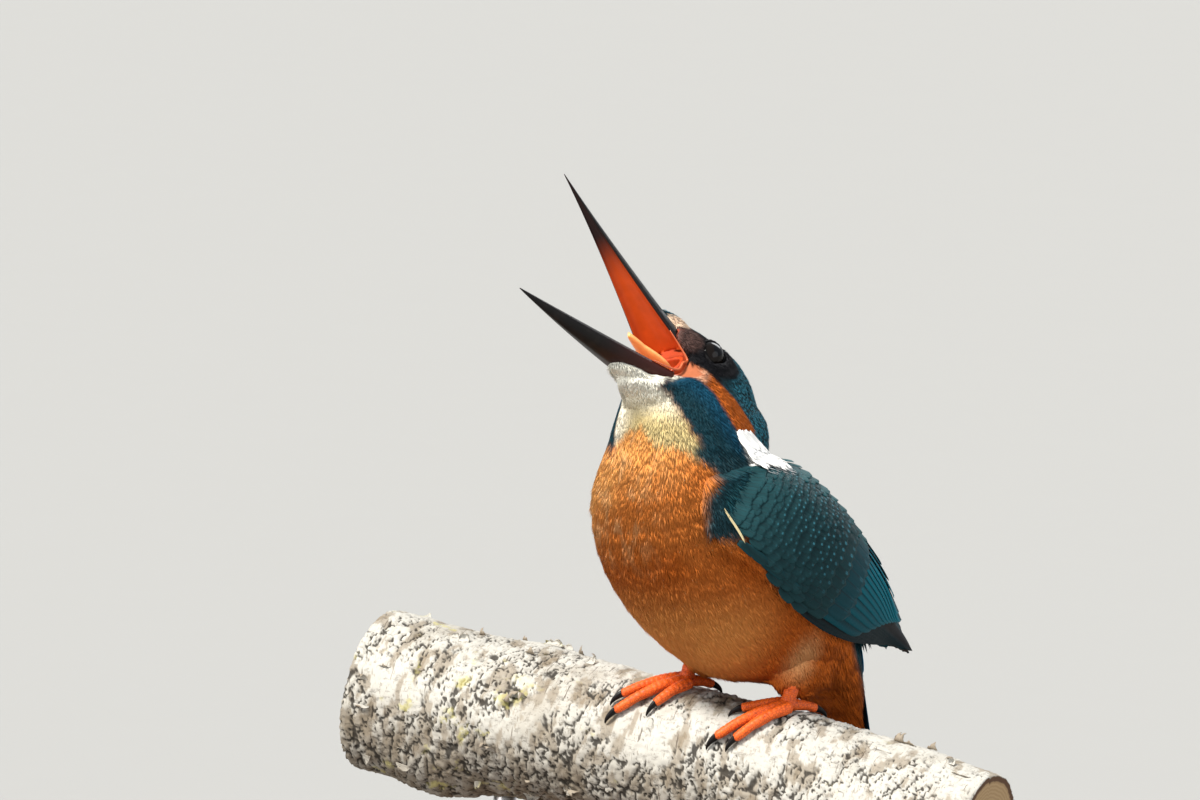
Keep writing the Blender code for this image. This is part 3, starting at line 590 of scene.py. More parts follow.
    def face(self):
        """The black round the eye, the brown lore with its pale streak, and the skin of the gape."""
        a, _, c = self.head.T
        flat = np.hypot(a + 2.6, (c - 4.8) * 1.05)
        mask = np.maximum(soft(4.9 - flat, 0.5), soft(2.6 - np.hypot((a - 0.6) / 1.5, c - 1.4), 0.6))
        self.paint(mask * soft(self.side - 4.0, 0.5) * self.on_head, BLACK, 0, 0.3)
        lore = soft(3.6 - np.hypot(a - 5.2, (c - 2.9) * 1.05), 0.9)
        self.paint(lore * soft(self.side - 3.0, 0.6) * self.on_head, LORE)
        ahead, above = a - 7.6, c - 5.4
        streak = np.hypot((ahead * 0.75 - above * 0.66) / 3.2, (ahead * 0.66 + above * 0.75) / 1.5)
        self.paint(soft(1.0 - streak, 0.2) * soft(self.side - 2.2, 0.5) * self.on_head, SPOT)
        self.paint(gape_skin(self.head) * self.on_head, GAPE)


def pelt_of(points):
    """The plumage at points of the bird's frame: colours, azure bars, gloss."""
    pelt = Pelt(points)
    pelt.throat_and_cheeks()
    pelt.back()
    pelt.crown()
    pelt.face()
    return pelt.colour, pelt.bars, pelt.gloss


GUIDES_HEAD = (  # place and direction of the plumage in the head's frame; y and its direction are mirrored
    ((8, 0, 7), (-1, 0, 0.35)), ((-6, 0, 14), (-1, 0, -0.1)), ((-24, 0, 8), (-0.85, 0, -0.5)),
    ((5, 6, 3), (-1, 0.25, 0.12)), ((-2, 7, 10), (-1, 0.1, 0.1)), ((-8, 11, -2), (-1, 0.12, -0.12)),
    ((-3, 8, -9), (-1, 0.1, -0.3)), ((-16, 12, 0), (-1, 0, -0.25)),
)
GUIDES_BIRD = (
    ((31, 0, 68), (-0.05, 0, -1)), ((33, 0, 60), (0.12, 0, -1)), ((35, 0, 52), (0.1, 0, -1)),
    ((36, 0, 42), (-0.12, 0, -1)), ((31, 0, 27), (-0.5, 0, -0.85)), ((18, 0, 12), (-0.85, 0, -0.6)),
    ((4, 0, 4), (-1, 0, -0.15)), ((-10, 0, 0), (-1, 0, -0.25)), ((-22, 0, -6), (-0.55, 0, -1)),
    ((20, 18, 50), (-0.45, 0.1, -0.9)), ((10, 22, 30), (-0.5, 0, -0.85)), ((0, 18, 14), (-0.7, 0, -0.6)),
    ((-2, 13, 8), (-0.25, 0.05, -1)), ((-2, 14, 4), (0.1, 0, -1)), ((14, 13, 58), (-0.5, 0, -0.85)),
    ((-4, 0, 52), (-0.75, 0, -0.65)), ((-18, 0, 38), (-0.6, 0, -0.8)), ((-27, 0, 20), (-0.15, 0, -1)),
    ((-28, 0, 5), (-0.05, 0, -1)), ((-20, 10, 6), (-0.5, 0, -0.9)),
)


def lie_of(points, normals):
    """The direction in which the plumage lies at points of the bird's frame, along the surface."""
    total = np.zeros_like(points)
    for guides, matrix, spread in ((GUIDES_HEAD, HEAD, 6.0), (GUIDES_BIRD, None, 9.0)):
        for place, way in guides:
            for mirror in ((1,) if place[1] == 0 else (1, -1)):
                spot = np.array(place, float) * (1, mirror, 1)
                aim = unit(np.array(way, float) * (1, mirror, 1))
                if matrix:
                    spot, aim = moved(spot, matrix), turned(aim, matrix)
                near = np.exp(-((points - spot) ** 2).sum(1) / (2 * spread**2)) + 1e-9
                total += near[:, None] * aim
    total -= normals * (total * normals).sum(1, keepdims=True)
    return unit(total)


# ---------------------------------------------------------------- skin


def joined_nodes(names, growth=0.0):
    """The named solids in one bmesh, each with its doubled points merged and grown along its normals."""
    joined = bmesh.new()
    for name in names:
        bm = bmesh.new()
        bm.from_mesh(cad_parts[name].data)
        bmesh.ops.remove_doubles(bm, verts=bm.verts, dist=1e-6)
        bm.normal_update()
        for vert in bm.verts:
            vert.co += vert.normal * (growth * MM)
        into(joined, bm)
    return joined


def into(joined, bm):
    """Adds one bmesh to another."""
    mesh = bpy.data.meshes.new("part")
    bm.to_mesh(mesh)
    bm.free()
    joined.from_mesh(mesh)
    bpy.data.meshes.remove(mesh)


def tree_of(*names):
    joined = joined_nodes(names)
    tree = BVHTree.FromBMesh(joined)
    joined.free()
    return tree


def distance_to(tree, points, limit=0.012):
    """How far points in metres are from a tree's surface, in millimetres, up to limit."""
    found = (tree.find_nearest(Vector(p), limit)[3] for p in points)
    return np.array([limit / MM if d is None else d / MM for d in found])


def ellipsoid(place, radii, matrix, sides=48):
    turn = np.linspace(0, np.pi, sides // 2 + 1)[1:-1, None]
    around = round_turn(sides)[None, :]
    ball = np.broadcast_arrays(np.cos(turn), np.sin(turn) * np.cos(around), np.sin(turn) * np.sin(around))
    return moved(np.stack(ball, -1) * radii + place, matrix)


def flesh_whole():
    """The flesh nodes as one closed surface, in metres, with the feathered forehead and chin added."""
    joined = joined_nodes(FLESH, FLESH_GROWTH)
    for place, radii, space in (
        ((3.0, 0, 5.9), (7.4, 5.3, 2.7), LIFTED),
        ((6.5, 0, -3.6), (9.3, 3.6, 1.9), JAW),
        ((4.6, 0, -5.0), (7.2, 4.4, 2.6), JAW),
    ):
        mesh = Shape().loft(ellipsoid(place, radii, space)).mesh("form", BIRD)
        joined.from_mesh(mesh)
        bpy.data.meshes.remove(mesh)
    bmesh.ops.recalc_face_normals(joined, faces=joined.faces)
    mesh = bpy.data.meshes.new("flesh")
    joined.to_mesh(mesh)
    joined.free()
    return remeshed(mesh, SKIN_VOXEL, 3)


def in_mouth(head):
    """1 where a place of the head's frame lies in the mouth's hollow."""
    a, b, c = head.T
    roof = 0.3 + math.tan(UPPER_LIFT) * (a + 6)
    floor = 1.1 + JAW_HINGE.z * (1 - math.cos(JAW_OPEN)) - (a - JAW_HINGE.x) * math.sin(JAW_OPEN)
    inside = soft(roof + 0.4 - c, 0.3) * soft(c - floor + 1.2, 0.4)
    return inside * soft(5.4 - np.abs(b), 0.3) * soft(3.5 - a, 0.4)


class Ground:
    """The points of the skin in the bird's frame, and what each of them lies on or near."""

    def __init__(self, mesh):
        row = read(mesh.vertices, "co", 3)
        self.points = moved(row / MM, TO_BIRD)
        self.normals = turned(read(mesh.vertex_normals, "vector", 3), TO_BIRD)
        self.head = moved(self.points, TO_HEAD)
        body = distance_to(tree_of("head", "neck", "trunk", "thigh_left", "thigh_right"), row)
        wing = distance_to(tree_of(*WINGS), row)
        self.hard = distance_to(tree_of("bill_upper", "bill_lower", "eye_left", "eye_right"), row)
        self.feet = distance_to(tree_of("foot_left", "foot_right"), row)
        self.on_wing = soft(body - wing, 0.25)
        self.mouth = in_mouth(self.head)
        self.on_head = soft(self.points[:, 2] - 58, 3)
        self.face = self.on_head * soft(self.head[:, 0] + 6, 5)

    def depth(self):
        """How deep the skin lies under the solids' surface."""
        depth = BODY_COAT * (1 - self.on_head) + HEAD_COAT * self.on_head * (1 - self.face)
        depth = depth + FACE_COAT * self.face
        depth = depth * (1 - self.on_wing) + WING_COAT * self.on_wing
        return depth * (1 - self.mouth) * soft(self.hard - 0.9, 0.8) * (0.35 + 0.65 * soft(self.feet - 2, 2))

    def wing_parts(self):
        """How far along the wing; its back; and its lower edge, which the body's tufts lie over."""
        u, v = wing_place(self.points)
        back = soft(-self.normals[:, 1] * np.sign(self.points[:, 1]) - 0.25, 0.15)
        over_edge = soft(v - wing_edge(u), 0.03) * soft(2.9 - u, 0.3) * (1 - back)
        return u, back, over_edge

    def palate(self):
        """1 on the skin that shows between the mandibles."""
        a, b, c = self.head.T
        downwards = -(self.normals * turned(np.array((0.0, 0.0, 1.0)), LIFTED)).sum(1)
        palate = soft(downwards - 0.1, 0.2) * soft(a + 1.0, 0.6) * soft(5.0 - np.abs(b), 0.5)
        palate = palate * soft(c, 0.5) * soft(3.4 - c, 0.4)
        front = soft(a - 0.5, 0.4) * soft(3.3 - c, 0.4) * soft(c + 1.5, 0.4) * soft(5.2 - np.abs(b), 0.4)
        return np.maximum(palate, front)

    def tuft_sizes(self, bars, gloss, white):
        """How long and wide the tufts are and how many degrees they rise."""
        x, _, z = self.points.T
        a, _, c = self.head.T
        on_head, face = self.on_head, self.face
        reach = TUFT_REACH - 0.9 * on_head
        reach = reach + 1.2 * soft(16 - z, 8) * soft(2 - x, 6)
        reach = reach * (1 - face) + 1.4 * face
        reach = reach * (1 - 0.3 * bars * on_head)
        reach = reach * (1 - 0.55 * soft(5 - self.feet, 3)) + 1.8 * white * soft(-14 - a, 2)
        girth = TUFT_GIRTH - 0.06 * on_head - 0.05 * face + 0.12 * bars * on_head
        girth = girth + 0.2 * gloss * (1 - on_head) + 0.1 * white
        throat = on_head * soft(-5 - c, 2) * soft(a + 16, 4)
        return reach, girth, TUFT_RISE - 1.5 * throat

    def tract(self, gloss):
        """1 face, 2 neck, 3 mantle; breast, flank and vent are 4 to 6 on the left, 7 to 9 on the right."""
        _, y, z = self.points.T
        below = np.where(z > 36, 4, np.where(z > 16, 5, 6)) + 3 * (y < 0)
        above = np.where(gloss * (1 - self.on_head) > 0.5, 3, below)
        return np.where(z > 57.5, np.where(self.head[:, 0] > -10, 1, 2), above)


def make_skin(finish):
    """One skin under the plumage, with what the coats grow by as its attributes."""
    mesh = flesh_whole()
    ground = Ground(mesh)
    on_wing, mouth, palate = ground.on_wing, ground.mouth, ground.palate()
    wing_u, back, over_edge = ground.wing_parts()

    shoulder = np.maximum(1 - soft(wing_u - 1.5, 0.15), over_edge)
    bare = np.maximum(mouth, on_wing * np.maximum(1 - shoulder, back))
    cover = (1 - soft(bare, 0.4)) * soft(ground.hard - 0.4, 0.25) * soft(ground.feet - 0.7, 0.3)
    cover = cover * (1 - palate) * (1 - gape_skin(ground.head))

    colour, bars, gloss = pelt_of(ground.points)
    teal = on_wing * soft(wing_u - 0.25, 0.3) * (1 - soft(colour.sum(1) - 2.0, 0.3)) * (1 - over_edge)
    gloss = np.maximum(gloss, 0.7 * teal)
    # painted shade: the wing's inner face, against the body, is painted nearly black
    for mask, tone in ((teal, TEAL), (back * on_wing, WING_BACK_SHADE), (np.maximum(mouth, palate), MOUTH)):
        colour = blend(colour, mask, tone)
    reach, girth, rise = ground.tuft_sizes(bars, gloss, soft(colour.min(1) - 0.6, 0.1))

    inner = ground.points - ground.normals * ground.depth()[:, None]
    mesh.vertices.foreach_set("co", (moved(inner, BIRD) * MM).astype(np.float32).ravel())
    mesh.update()
    lie = turned(lie_of(ground.points, ground.normals), BIRD)
    for name, values in (
        ("pelt", colour), ("bars", bars), ("gloss", gloss), ("cover", cover), ("lie", lie),
        ("reach", reach * MM), ("girth", girth * MM), ("rise", np.radians(rise)),
        ("tract", ground.tract(gloss)),
    ):
        write(mesh, name, values)
    unwrapped(mesh)
    return shown(mesh, "skin", finish)


def unwrapped(mesh):
    """Lays the skin's own shape out flat, for the coats' colours to be found by."""
    obj = linked("unwrap", mesh)
    for other in bpy.context.selected_objects:
        other.select_set(False)
    obj.select_set(True)
    bpy.context.view_layer.objects.active = obj
    mesh.uv_layers.new(name="unwrap")
    bpy.ops.object.mode_set(mode="EDIT")
    bpy.ops.mesh.select_all(action="SELECT")
    bpy.ops.uv.smart_project(angle_limit=1.15, island_margin=0.004)
    bpy.ops.object.mode_set(mode="OBJECT")
    bpy.data.objects.remove(obj)


# ---------------------------------------------------------------- coats of small feathers


def tuft_shape(name, finish, widths, bend, twist):
    """A thin closed blade: across 1, along 1, with where each point lies on it as the attribute leaf."""
    points, leaf = [], []
    for i, half in enumerate(widths):
        t = i / len(widths)
        height = TUFT_HEIGHT * half * (1 - 0.5 * t)
        drop, lean = bend * t * t, twist * t * t
        points += [(-half / 2 + lean, t, -drop), (lean, t, height - drop), (half / 2 + lean, t, -drop)]
        leaf += [(0.5 - half / 2, t), (0.5, t), (0.5 + half / 2, t)]
    k, tip = len(points) - 3, len(points)
    faces = []
    for i in range(0, k, 3):
        faces += [(i, i + 1, i + 4, i + 3), (i + 1, i + 2, i + 5, i + 4), (i + 2, i, i + 3, i + 5)]
    faces += [(k, k + 1, tip), (k + 1, k + 2, tip), (k + 2, k, tip), (0, 2, 1)]
    mesh = bpy.data.meshes.new(name)
    mesh.from_pydata([*points, (twist, 1.0, -bend)], [], faces)
    write(mesh, "leaf", [*leaf, (0.5, 1.0)])
    mesh.materials.append(finish)
    mesh.shade_smooth()
    return bpy.data.objects.new(name, mesh)


class Tree:
    """A Geometry Nodes tree under construction, whose links are made by name."""

    def __init__(self, name):
        self.tree = bpy.data.node_groups.new(name, "GeometryNodeTree")
        self.interface = self.tree.interface
        self.tree.is_modifier = True
        self.identifiers = {}
        self.input("Geometry", "NodeSocketGeometry")
        self.interface.new_socket("Geometry", in_out="OUTPUT", socket_type="NodeSocketGeometry")
        self.start = self.tree.nodes.new("NodeGroupInput")
        self.end = self.tree.nodes.new("NodeGroupOutput")

    def input(self, name, kind):
        self.identifiers[name] = self.interface.new_socket(name, in_out="INPUT", socket_type=kind).identifier

    def given(self, name):
        return self.start.outputs[name]

    def add(self, kind, settings=None, **values):
        """A node with its settings, then its inputs by name; __2 after a name takes its second socket."""
        node = self.tree.nodes.new(kind)
        for key, value in (settings or {}).items():
            setattr(node, key, value)
        for key, value in values.items():
            name, _, number = key.partition("__")
            found = [s for s in node.inputs if s.name == name.replace("_", " ") and s.enabled]
            socket = found[int(number) - 1 if number else 0]
            if isinstance(value, bpy.types.NodeSocket):
                self.tree.links.new(value, socket)
            else:
                socket.default_value = value
        return node

    def field(self, name, kind="FLOAT"):
        node = self.add("GeometryNodeInputNamedAttribute", {"data_type": kind}, Name=name)
        return next(s for s in node.outputs if s.enabled and s.name == "Attribute")

    def maths(self, operation, a, b=None):
        node = self.tree.nodes.new("ShaderNodeMath")
        node.operation = operation
        for socket, value in zip(node.inputs, (a, b)):
            if isinstance(value, bpy.types.NodeSocket):
                self.tree.links.new(value, socket)
            elif value is not None:
                socket.default_value = value
        return node.outputs[0]

    def random(self, low, high, salt, kind="FLOAT"):
        """A random number for each point, its seed the coat's own and salt."""
        seed = self.maths("ADD", self.given("Seed"), float(salt))
        node = self.add("FunctionNodeRandomValue", {"data_type": kind}, Min=low, Max=high, Seed=seed)
        return next(s for s in node.outputs if s.enabled)

    def store(self, geometry, name, kind, value, domain="POINT"):
        settings = {"data_type": kind, "domain": domain}
        kept = {"Geometry": geometry, "Name": name, "Value": value}
        return self.add("GeometryNodeStoreNamedAttribute", settings, **kept).outputs[0]


def coat_tree(tufts):
    """Tufts on one tract of the skin, laid along its lie and raised a little from it."""
    t = Tree("coat")
    for name, kind in (
        ("Tract", "Int"), ("Density", "Float"), ("Spacing", "Float"), ("Seed", "Int"), ("Ruffle", "Float"),
        ("Finish", "Material"),
    ):
        t.input(name, "NodeSocket" + kind)
    here = t.add("FunctionNodeCompare", {"data_type": "FLOAT", "operation": "EQUAL"}, A=t.field("tract"),
                 B=t.given("Tract"), Epsilon=0.5)
    wanted = t.maths("MULTIPLY", t.field("cover"), here.outputs[0])
    spread = t.add(
        "GeometryNodeDistributePointsOnFaces", {"distribute_method": "POISSON"}, Mesh=t.given("Geometry"),
        Distance_Min=t.given("Spacing"), Density_Max=t.given("Density"), Density_Factor=wanted,
        Seed=t.given("Seed"),
    )
    points, normal = spread.outputs["Points"], spread.outputs["Normal"]
    points = t.store(points, "root_uv", "FLOAT2", t.field("unwrap", "FLOAT_VECTOR"))
    points = t.store(points, "tone", "FLOAT", t.random(0.0, 1.0, 1))
    frame_turn = t.add(
        "FunctionNodeAxesToRotation", {"primary_axis": "Z", "secondary_axis": "Y"},
        Primary_Axis=normal, Secondary_Axis=t.field("lie", "FLOAT_VECTOR"),
    ).outputs[0]
    lift = t.maths("ADD", t.field("rise"), t.random(-0.05, 0.05, 2))
    jitter = t.maths("MULTIPLY", t.random(-1.0, 1.0, 3), t.given("Ruffle"))
    roll = t.maths("MULTIPLY", t.random(-1.0, 1.0, 4), 0.12)
    angles = t.add("ShaderNodeCombineXYZ", None, X=lift, Y=roll, Z=jitter).outputs[0]
    local = t.add("FunctionNodeEulerToRotation", None, Euler=angles).outputs[0]
    locally = {"rotation_space": "LOCAL"}
    turn = t.add("FunctionNodeRotateRotation", locally, Rotation=frame_turn, Rotate_By=local).outputs[0]
    long = t.maths("MULTIPLY", t.field("reach"), t.random(0.75, 1.2, 5))
    wide = t.maths("MULTIPLY", t.field("girth"), t.random(0.8, 1.25, 6))
    size = t.add("ShaderNodeCombineXYZ", None, X=wide, Y=long, Z=wide).outputs[0]
    gathered = t.add("GeometryNodeJoinGeometry")
    for tuft in tufts:
        info = t.add("GeometryNodeObjectInfo", None, Object=tuft, As_Instance=True)
        t.tree.links.new(info.outputs["Geometry"], gathered.inputs[0])
    placed = t.add(
        "GeometryNodeInstanceOnPoints", None, Points=points, Instance=gathered.outputs[0], Pick_Instance=True,
        Instance_Index=t.random(0, len(tufts) - 1, 7, "INT"), Rotation=turn, Scale=size,
    )
    real = t.add("GeometryNodeRealizeInstances", None, Geometry=placed.outputs[0]).outputs[0]
    leaf, root = t.field("leaf", "FLOAT_VECTOR"), t.field("root_uv", "FLOAT_VECTOR")
    patch = t.add("ShaderNodeVectorMath", {"operation": "SCALE"}, Vector=leaf, Scale=TUFT_PATCH).outputs[0]
    place = t.add("ShaderNodeVectorMath", {"operation": "ADD"}, Vector=root, Vector__2=patch).outputs[0]
    mapped = t.store(real, "OFBake", "FLOAT2", place, "CORNER")
    finished = t.add("GeometryNodeSetMaterial", None, Geometry=mapped, Material=t.given("Finish")).outputs[0]
    t.tree.links.new(finished, t.end.inputs[0])
    return t


KEPT_LAYERS = {"OFBake", "pelt", "bars", "gloss", "tone", "leaf", "position", "sharp_face", "material_index"}


def make_coat(skin, tree, name, finish, tract, density, spacing, ruffle):
    """One tract's tufts as a plain mesh."""
    obj = linked("coat", skin.data)
    modifier = obj.modifiers.new("coat", "NODES")
    modifier.node_group = tree.tree
    for key, value in (
        ("Tract", tract), ("Density", density * 1e6), ("Spacing", spacing * MM), ("Seed", SEED + tract),
        ("Ruffle", ruffle), ("Finish", finish),
    ):
        modifier[tree.identifiers[key]] = value
    mesh = plain(obj)
    bpy.data.objects.remove(obj)
    for layer in [layer.name for layer in mesh.attributes if not layer.is_internal and not layer.is_required]:
        if layer not in KEPT_LAYERS:
            mesh.attributes.remove(mesh.attributes[layer])
    return shown(mesh, name, finish)


# ---------------------------------------------------------------- wings and tail


def spline(rows, u):
    """Rows of numbers at fractional places u along them, on a smooth curve that runs on past its ends."""
    rows = np.concatenate([[2 * rows[0] - rows[1]], rows, [2 * rows[-1] - rows[-2]]])
    u = np.asarray(u, float)
    k = np.clip(np.floor(u).astype(int), 0, len(rows) - 4)
    t = (u - k)[..., None]
    a, b, c, d = (rows[k + i] for i in range(4))
    return 0.5 * (2 * b + (c - a) * t + (2 * a - 5 * b + 4 * c - d) * t**2 + (3 * b - a - 3 * c + d) * t**3)


def wing_point(u, v, power=0.5):
    """Places on the left wing's outer face: u along its stations, v from its upper edge to its lower."""
    row = spline(WING_STATIONS, u)
    v = np.asarray(v, float)[..., None]
    upper, lower, bulge, thick = row[..., 0:3], row[..., 3:6], row[..., 6:7], row[..., 7:8]
    across = lower - upper
    out = np.array((0.25, 1.0, 0.3))
    out = unit(out - across * (across @ out / (across**2).sum(-1))[..., None])
    crown = 4 * v * (1 - v)
    half = (WING_EDGE + (thick - WING_EDGE) * np.maximum(crown, 0) ** power) / 2
    return upper + across * v + out * (bulge * crown + half)


def wing_normal(u, v):
    step, power = 0.03, 0.8
    v = np.clip(v, 0.04, 0.96)
    along = wing_point(u + step, v, power) - wing_point(u - step, v, power)
    across = wing_point(u, v + step, power) - wing_point(u, v - step, power)
    out = np.cross(across, along)
    return unit(out) * np.sign(out[..., 1:2])


def wing_place(points):
    """Where points of the bird's frame lie on the nearer wing: u along it, v down from its upper edge."""
    mirrored = points * (1, 0, 1) + np.abs(points) * (0, 1, 0)
    nearest = np.full(len(points), np.inf)
    found = np.zeros((2, len(points)))
    for u in np.linspace(-0.5, 8.0, 69):
        row = spline(WING_STATIONS, u)
        upper, across = row[0:3], row[3:6] - row[0:3]
        v = (mirrored - upper) @ across / (across @ across)
        apart = np.linalg.norm((mirrored - upper - across * v[:, None]) * (1, 0.4, 1), axis=1)
        closer = apart < nearest
        nearest = np.where(closer, apart, nearest)
        found = np.where(closer, np.stack([np.full(len(v), u), v]), found)
    return found


def wing_edge(u):
    """How far down the wing its own feathers show; those of the breast and flank lie over the rest."""
    return np.interp(u, (0.0, 0.9, 1.8, 2.6, 3.4), (0.9, 0.85, 0.92, 0.97, 1.05))


def vane(shape, line, normals, width, outline, tilt, camber, thick, side, cell, **values):
    """A feather's vane along a line of points, as a thin closed blade.

    outline gives its half widths as shares of width / 2. cell is its number in a square map of cells, and how
    many of them lie along a side.
    """
    ahead = unit(np.gradient(line, axis=0))
    out = unit(normals - ahead * (ahead * normals).sum(1, keepdims=True))
    across = np.cross(out, ahead)
    t = np.linspace(-1, 1, VANE_COLUMNS)
    half = (outline * width / 2)[:, None, None]
    lean = t[None, :, None]
    middle = line[:, None] + across[:, None] * lean * half
    rise = (tilt * lean - camber * lean**2) * half + 0.05 * (1 - np.abs(lean) ** 0.3)
    top = middle + out[:, None] * rise
    depth = thick * (0.35 + 0.65 * (1 - np.abs(lean)))
    bottom = top - out[:, None] * depth
    ring = np.concatenate([top, bottom[:, ::-1]], 1)
    s = np.linspace(0, 1, len(line))
    leaf = np.stack(np.broadcast_arrays(0.5 + t[None, :] / 2, s[:, None]), -1)
    leaf = np.concatenate([leaf, leaf[:, ::-1]], 1)
    ring = ring * (1, side, 1)
    number, cells = cell
    corner = np.array((number % cells, number // cells)) / cells
    place = corner + (0.08 + 0.84 * leaf) / cells
    shape.loft(ring, leaf=leaf, bake=place, **values)


def outline_of(rows, start, full, tip):
    """Half widths of a vane: narrow at its root, full from one share, rounded off from another."""
    s = np.linspace(0, 1, rows)
    grow = start + (1 - start) * np.clip(s / full, 0, 1) ** 0.7
    fall = np.sqrt(np.clip(1 - (np.clip(s - tip, 0, 1) / (1 - tip)) ** 2, 0, 1))
    return grow * np.maximum(fall, 0.06)


def wing_vane(shape, rng, side, number, tip_u, v, length, width, lift, tone, v_root=None, spot=0.0, rim=0.3,
              edge=None, tip=0.72, rows=9, tilt=0.1):
    """One feather that lies along the wing and ends at tip_u, v, unless the white patch hides it."""
    under_white = white_patch(wing_point(tip_u - np.array((0.0, 0.35, 0.7)), np.full(3, v)) * (1, side, 1))
    if under_white.max() > 0.3:
        return
    s = np.linspace(0, 1, rows)
    root_u = tip_u - length / WING_UNIT
    us = root_u + (tip_u - root_u) * s
    vs = (v if v_root is None else v_root) * (1 - s) + v * s
    normals = wing_normal(us, vs)
    line = wing_point(us, vs) + normals * (lift * (0.1 + 0.9 * s**0.8) - 0.1)[:, None]
    shade = rng.uniform(0.85, 1.15)
    vane(
        shape, line, normals, width, outline_of(rows, 0.5, 0.35, tip), tilt, 0.12, 0.16, side,
        (number, WING_CELLS), pelt=np.array(tone) * shade, tone=rng.uniform(0, 1), spot=spot, rim=rim,
        edge=np.array(tone if edge is None else edge),
    )


def lay_flight_feathers(lay):
    cyan, teal, _, _, sooty, _ = WING_TONES
    # primaries: a sooty stack that runs out to the tip, lowest first
    for k in range(9):
        share = k / 8
        lay(
            6.55 + 1.5 * share**0.8, 0.97 - 0.42 * share**1.4, 34.0 - 4 * (1 - share), 5.4 - 1.0 * share,
            0.05 + 0.05 * k, sooty, v_root=1.0 - 0.1 * share, rim=0.22, edge=teal, tip=0.55, rows=20,
            tilt=-0.12,
        )
    # secondaries: long, each a step higher and nearer the back
    for k in range(11):
        share = k / 10
        lay(
            5.9 + 1.25 * share**0.7, 0.93 - 0.62 * share, 27.0, 6.4, 0.5 + 0.05 * k,
            teal * (0.55 + 0.5 * share), v_root=0.93 - 0.6 * share, rim=0.8,
            edge=cyan * (0.35 + 0.65 * share), tip=0.8, rows=20, tilt=-0.14,
        )
    # tertials, broad, over the secondaries next to the back
    for k in range(5):
        lay(
            6.95 - 0.36 * k, 0.27 - 0.07 * k, 22.0 - k, 7.0, 1.05 + 0.08 * k, teal * 0.9,
            v_root=0.3 - 0.06 * k, rim=0.9, edge=cyan, tip=0.75, rows=16, tilt=-0.12,
        )


def covert_rows():
    """Rows of coverts, from the longest up: tip, length, width, lift, range across, spot, colour."""
    _, teal, dark, *_ = WING_TONES
    rows = [
        (5.15, 12.5, 5.2, 1.15, 0.12, 0.95, 0.35, teal * 0.72),
        (4.55, 8.0, 4.4, 1.3, 0.1, 0.97, 0.9, dark * 0.95),
        (4.18, 7.0, 4.0, 1.35, 0.1, 0.98, 0.9, dark * 0.85),
    ]
    for k in range(13):
        tip_u, spot = 4.18 - 0.2 * (k + 1), 0.95 if k < 9 else 0.3
        tone = dark * (0.85 + 0.05 * k)
        rows.append((tip_u, 4.8 - 0.08 * k, 3.0 - 0.05 * k, 1.2 - 0.04 * k, 0.04, 1.0, spot, tone))
    return rows


def lay_coverts(lay, rng):
    for index, (tip_u, length, width, lift, low, high, spot, tone) in enumerate(covert_rows()):
        row = spline(WING_STATIONS, tip_u)
        chord = np.linalg.norm(row[3:6] - row[0:3])
        number = max(5, int(chord * 1.25 / (0.6 * width)))
        high = min(high, float(wing_edge(tip_u)) - 0.45 * width / chord)
        for k in range(number):
            v = low + (high - low) * (k + 0.5 * (index % 2)) / (number - 0.5)
            middle_zone = soft(v - 0.2, 0.12) * soft(0.86 - v, 0.12) * soft(tip_u - 1.9, 0.5)
            spotted = spot * middle_zone * rng.uniform(0.25, 1.0)
            lay(
                tip_u + rng.uniform(-0.05, 0.05) - 0.14 * (v - 0.5) ** 2, v, length,
                width * rng.uniform(0.92, 1.08), lift * (0.55 + 1.8 * v * (1 - v)), tone, spot=spotted,
                edge=tone * 1.6, tilt=-0.06,
            )


def lay_scapulars(lay, rng):
    """Small feathers over the coverts' upper ends."""
    _, teal, _, shoulder, *_ = WING_TONES
    for index in range(12):
        for k in range(5):
            lay(
                5.2 - 0.33 * index + 0.09 * (1.5 - k) + rng.uniform(-0.06, 0.06),
                0.03 + 0.065 * k + 0.033 * (index % 2), 7.5 - 0.25 * index, 3.2, 1.5 - 0.1 * k,
                shoulder * rng.uniform(0.9, 1.1), edge=teal * 1.1, tilt=-0.05,
            )


def lay_edge(lay):
    """The alula and the pale edge under the bend."""
    _, teal, dark, _, _, pale = WING_TONES
    for k in range(3):
        lay(2.6 + 0.5 * k, 0.97, 9.0, 2.2, 0.5 + 0.1 * k, dark, rim=0.4, edge=teal)
    lay(1.85, 0.96, 8.6, 0.5, 1.45, pale, v_root=0.84, rim=0.0, rows=13)


def make_wing(side, word, finish):
    """The folded wing's feathers, from the tips of the primaries to the lesser coverts at the bend."""
    rng = np.random.default_rng(SEED + side)
    shape = Shape()
    numbers = itertools.count()

    def lay(*sizes, **looks):
        wing_vane(shape, rng, side, next(numbers), *sizes, **looks)

    lay_flight_feathers(lay)
    lay_coverts(lay, rng)
    lay_scapulars(lay, rng)
    lay_edge(lay)
    bake_map(shape.made(f"plumage_wing_{word}", BIRD, finish, "feathers").data)


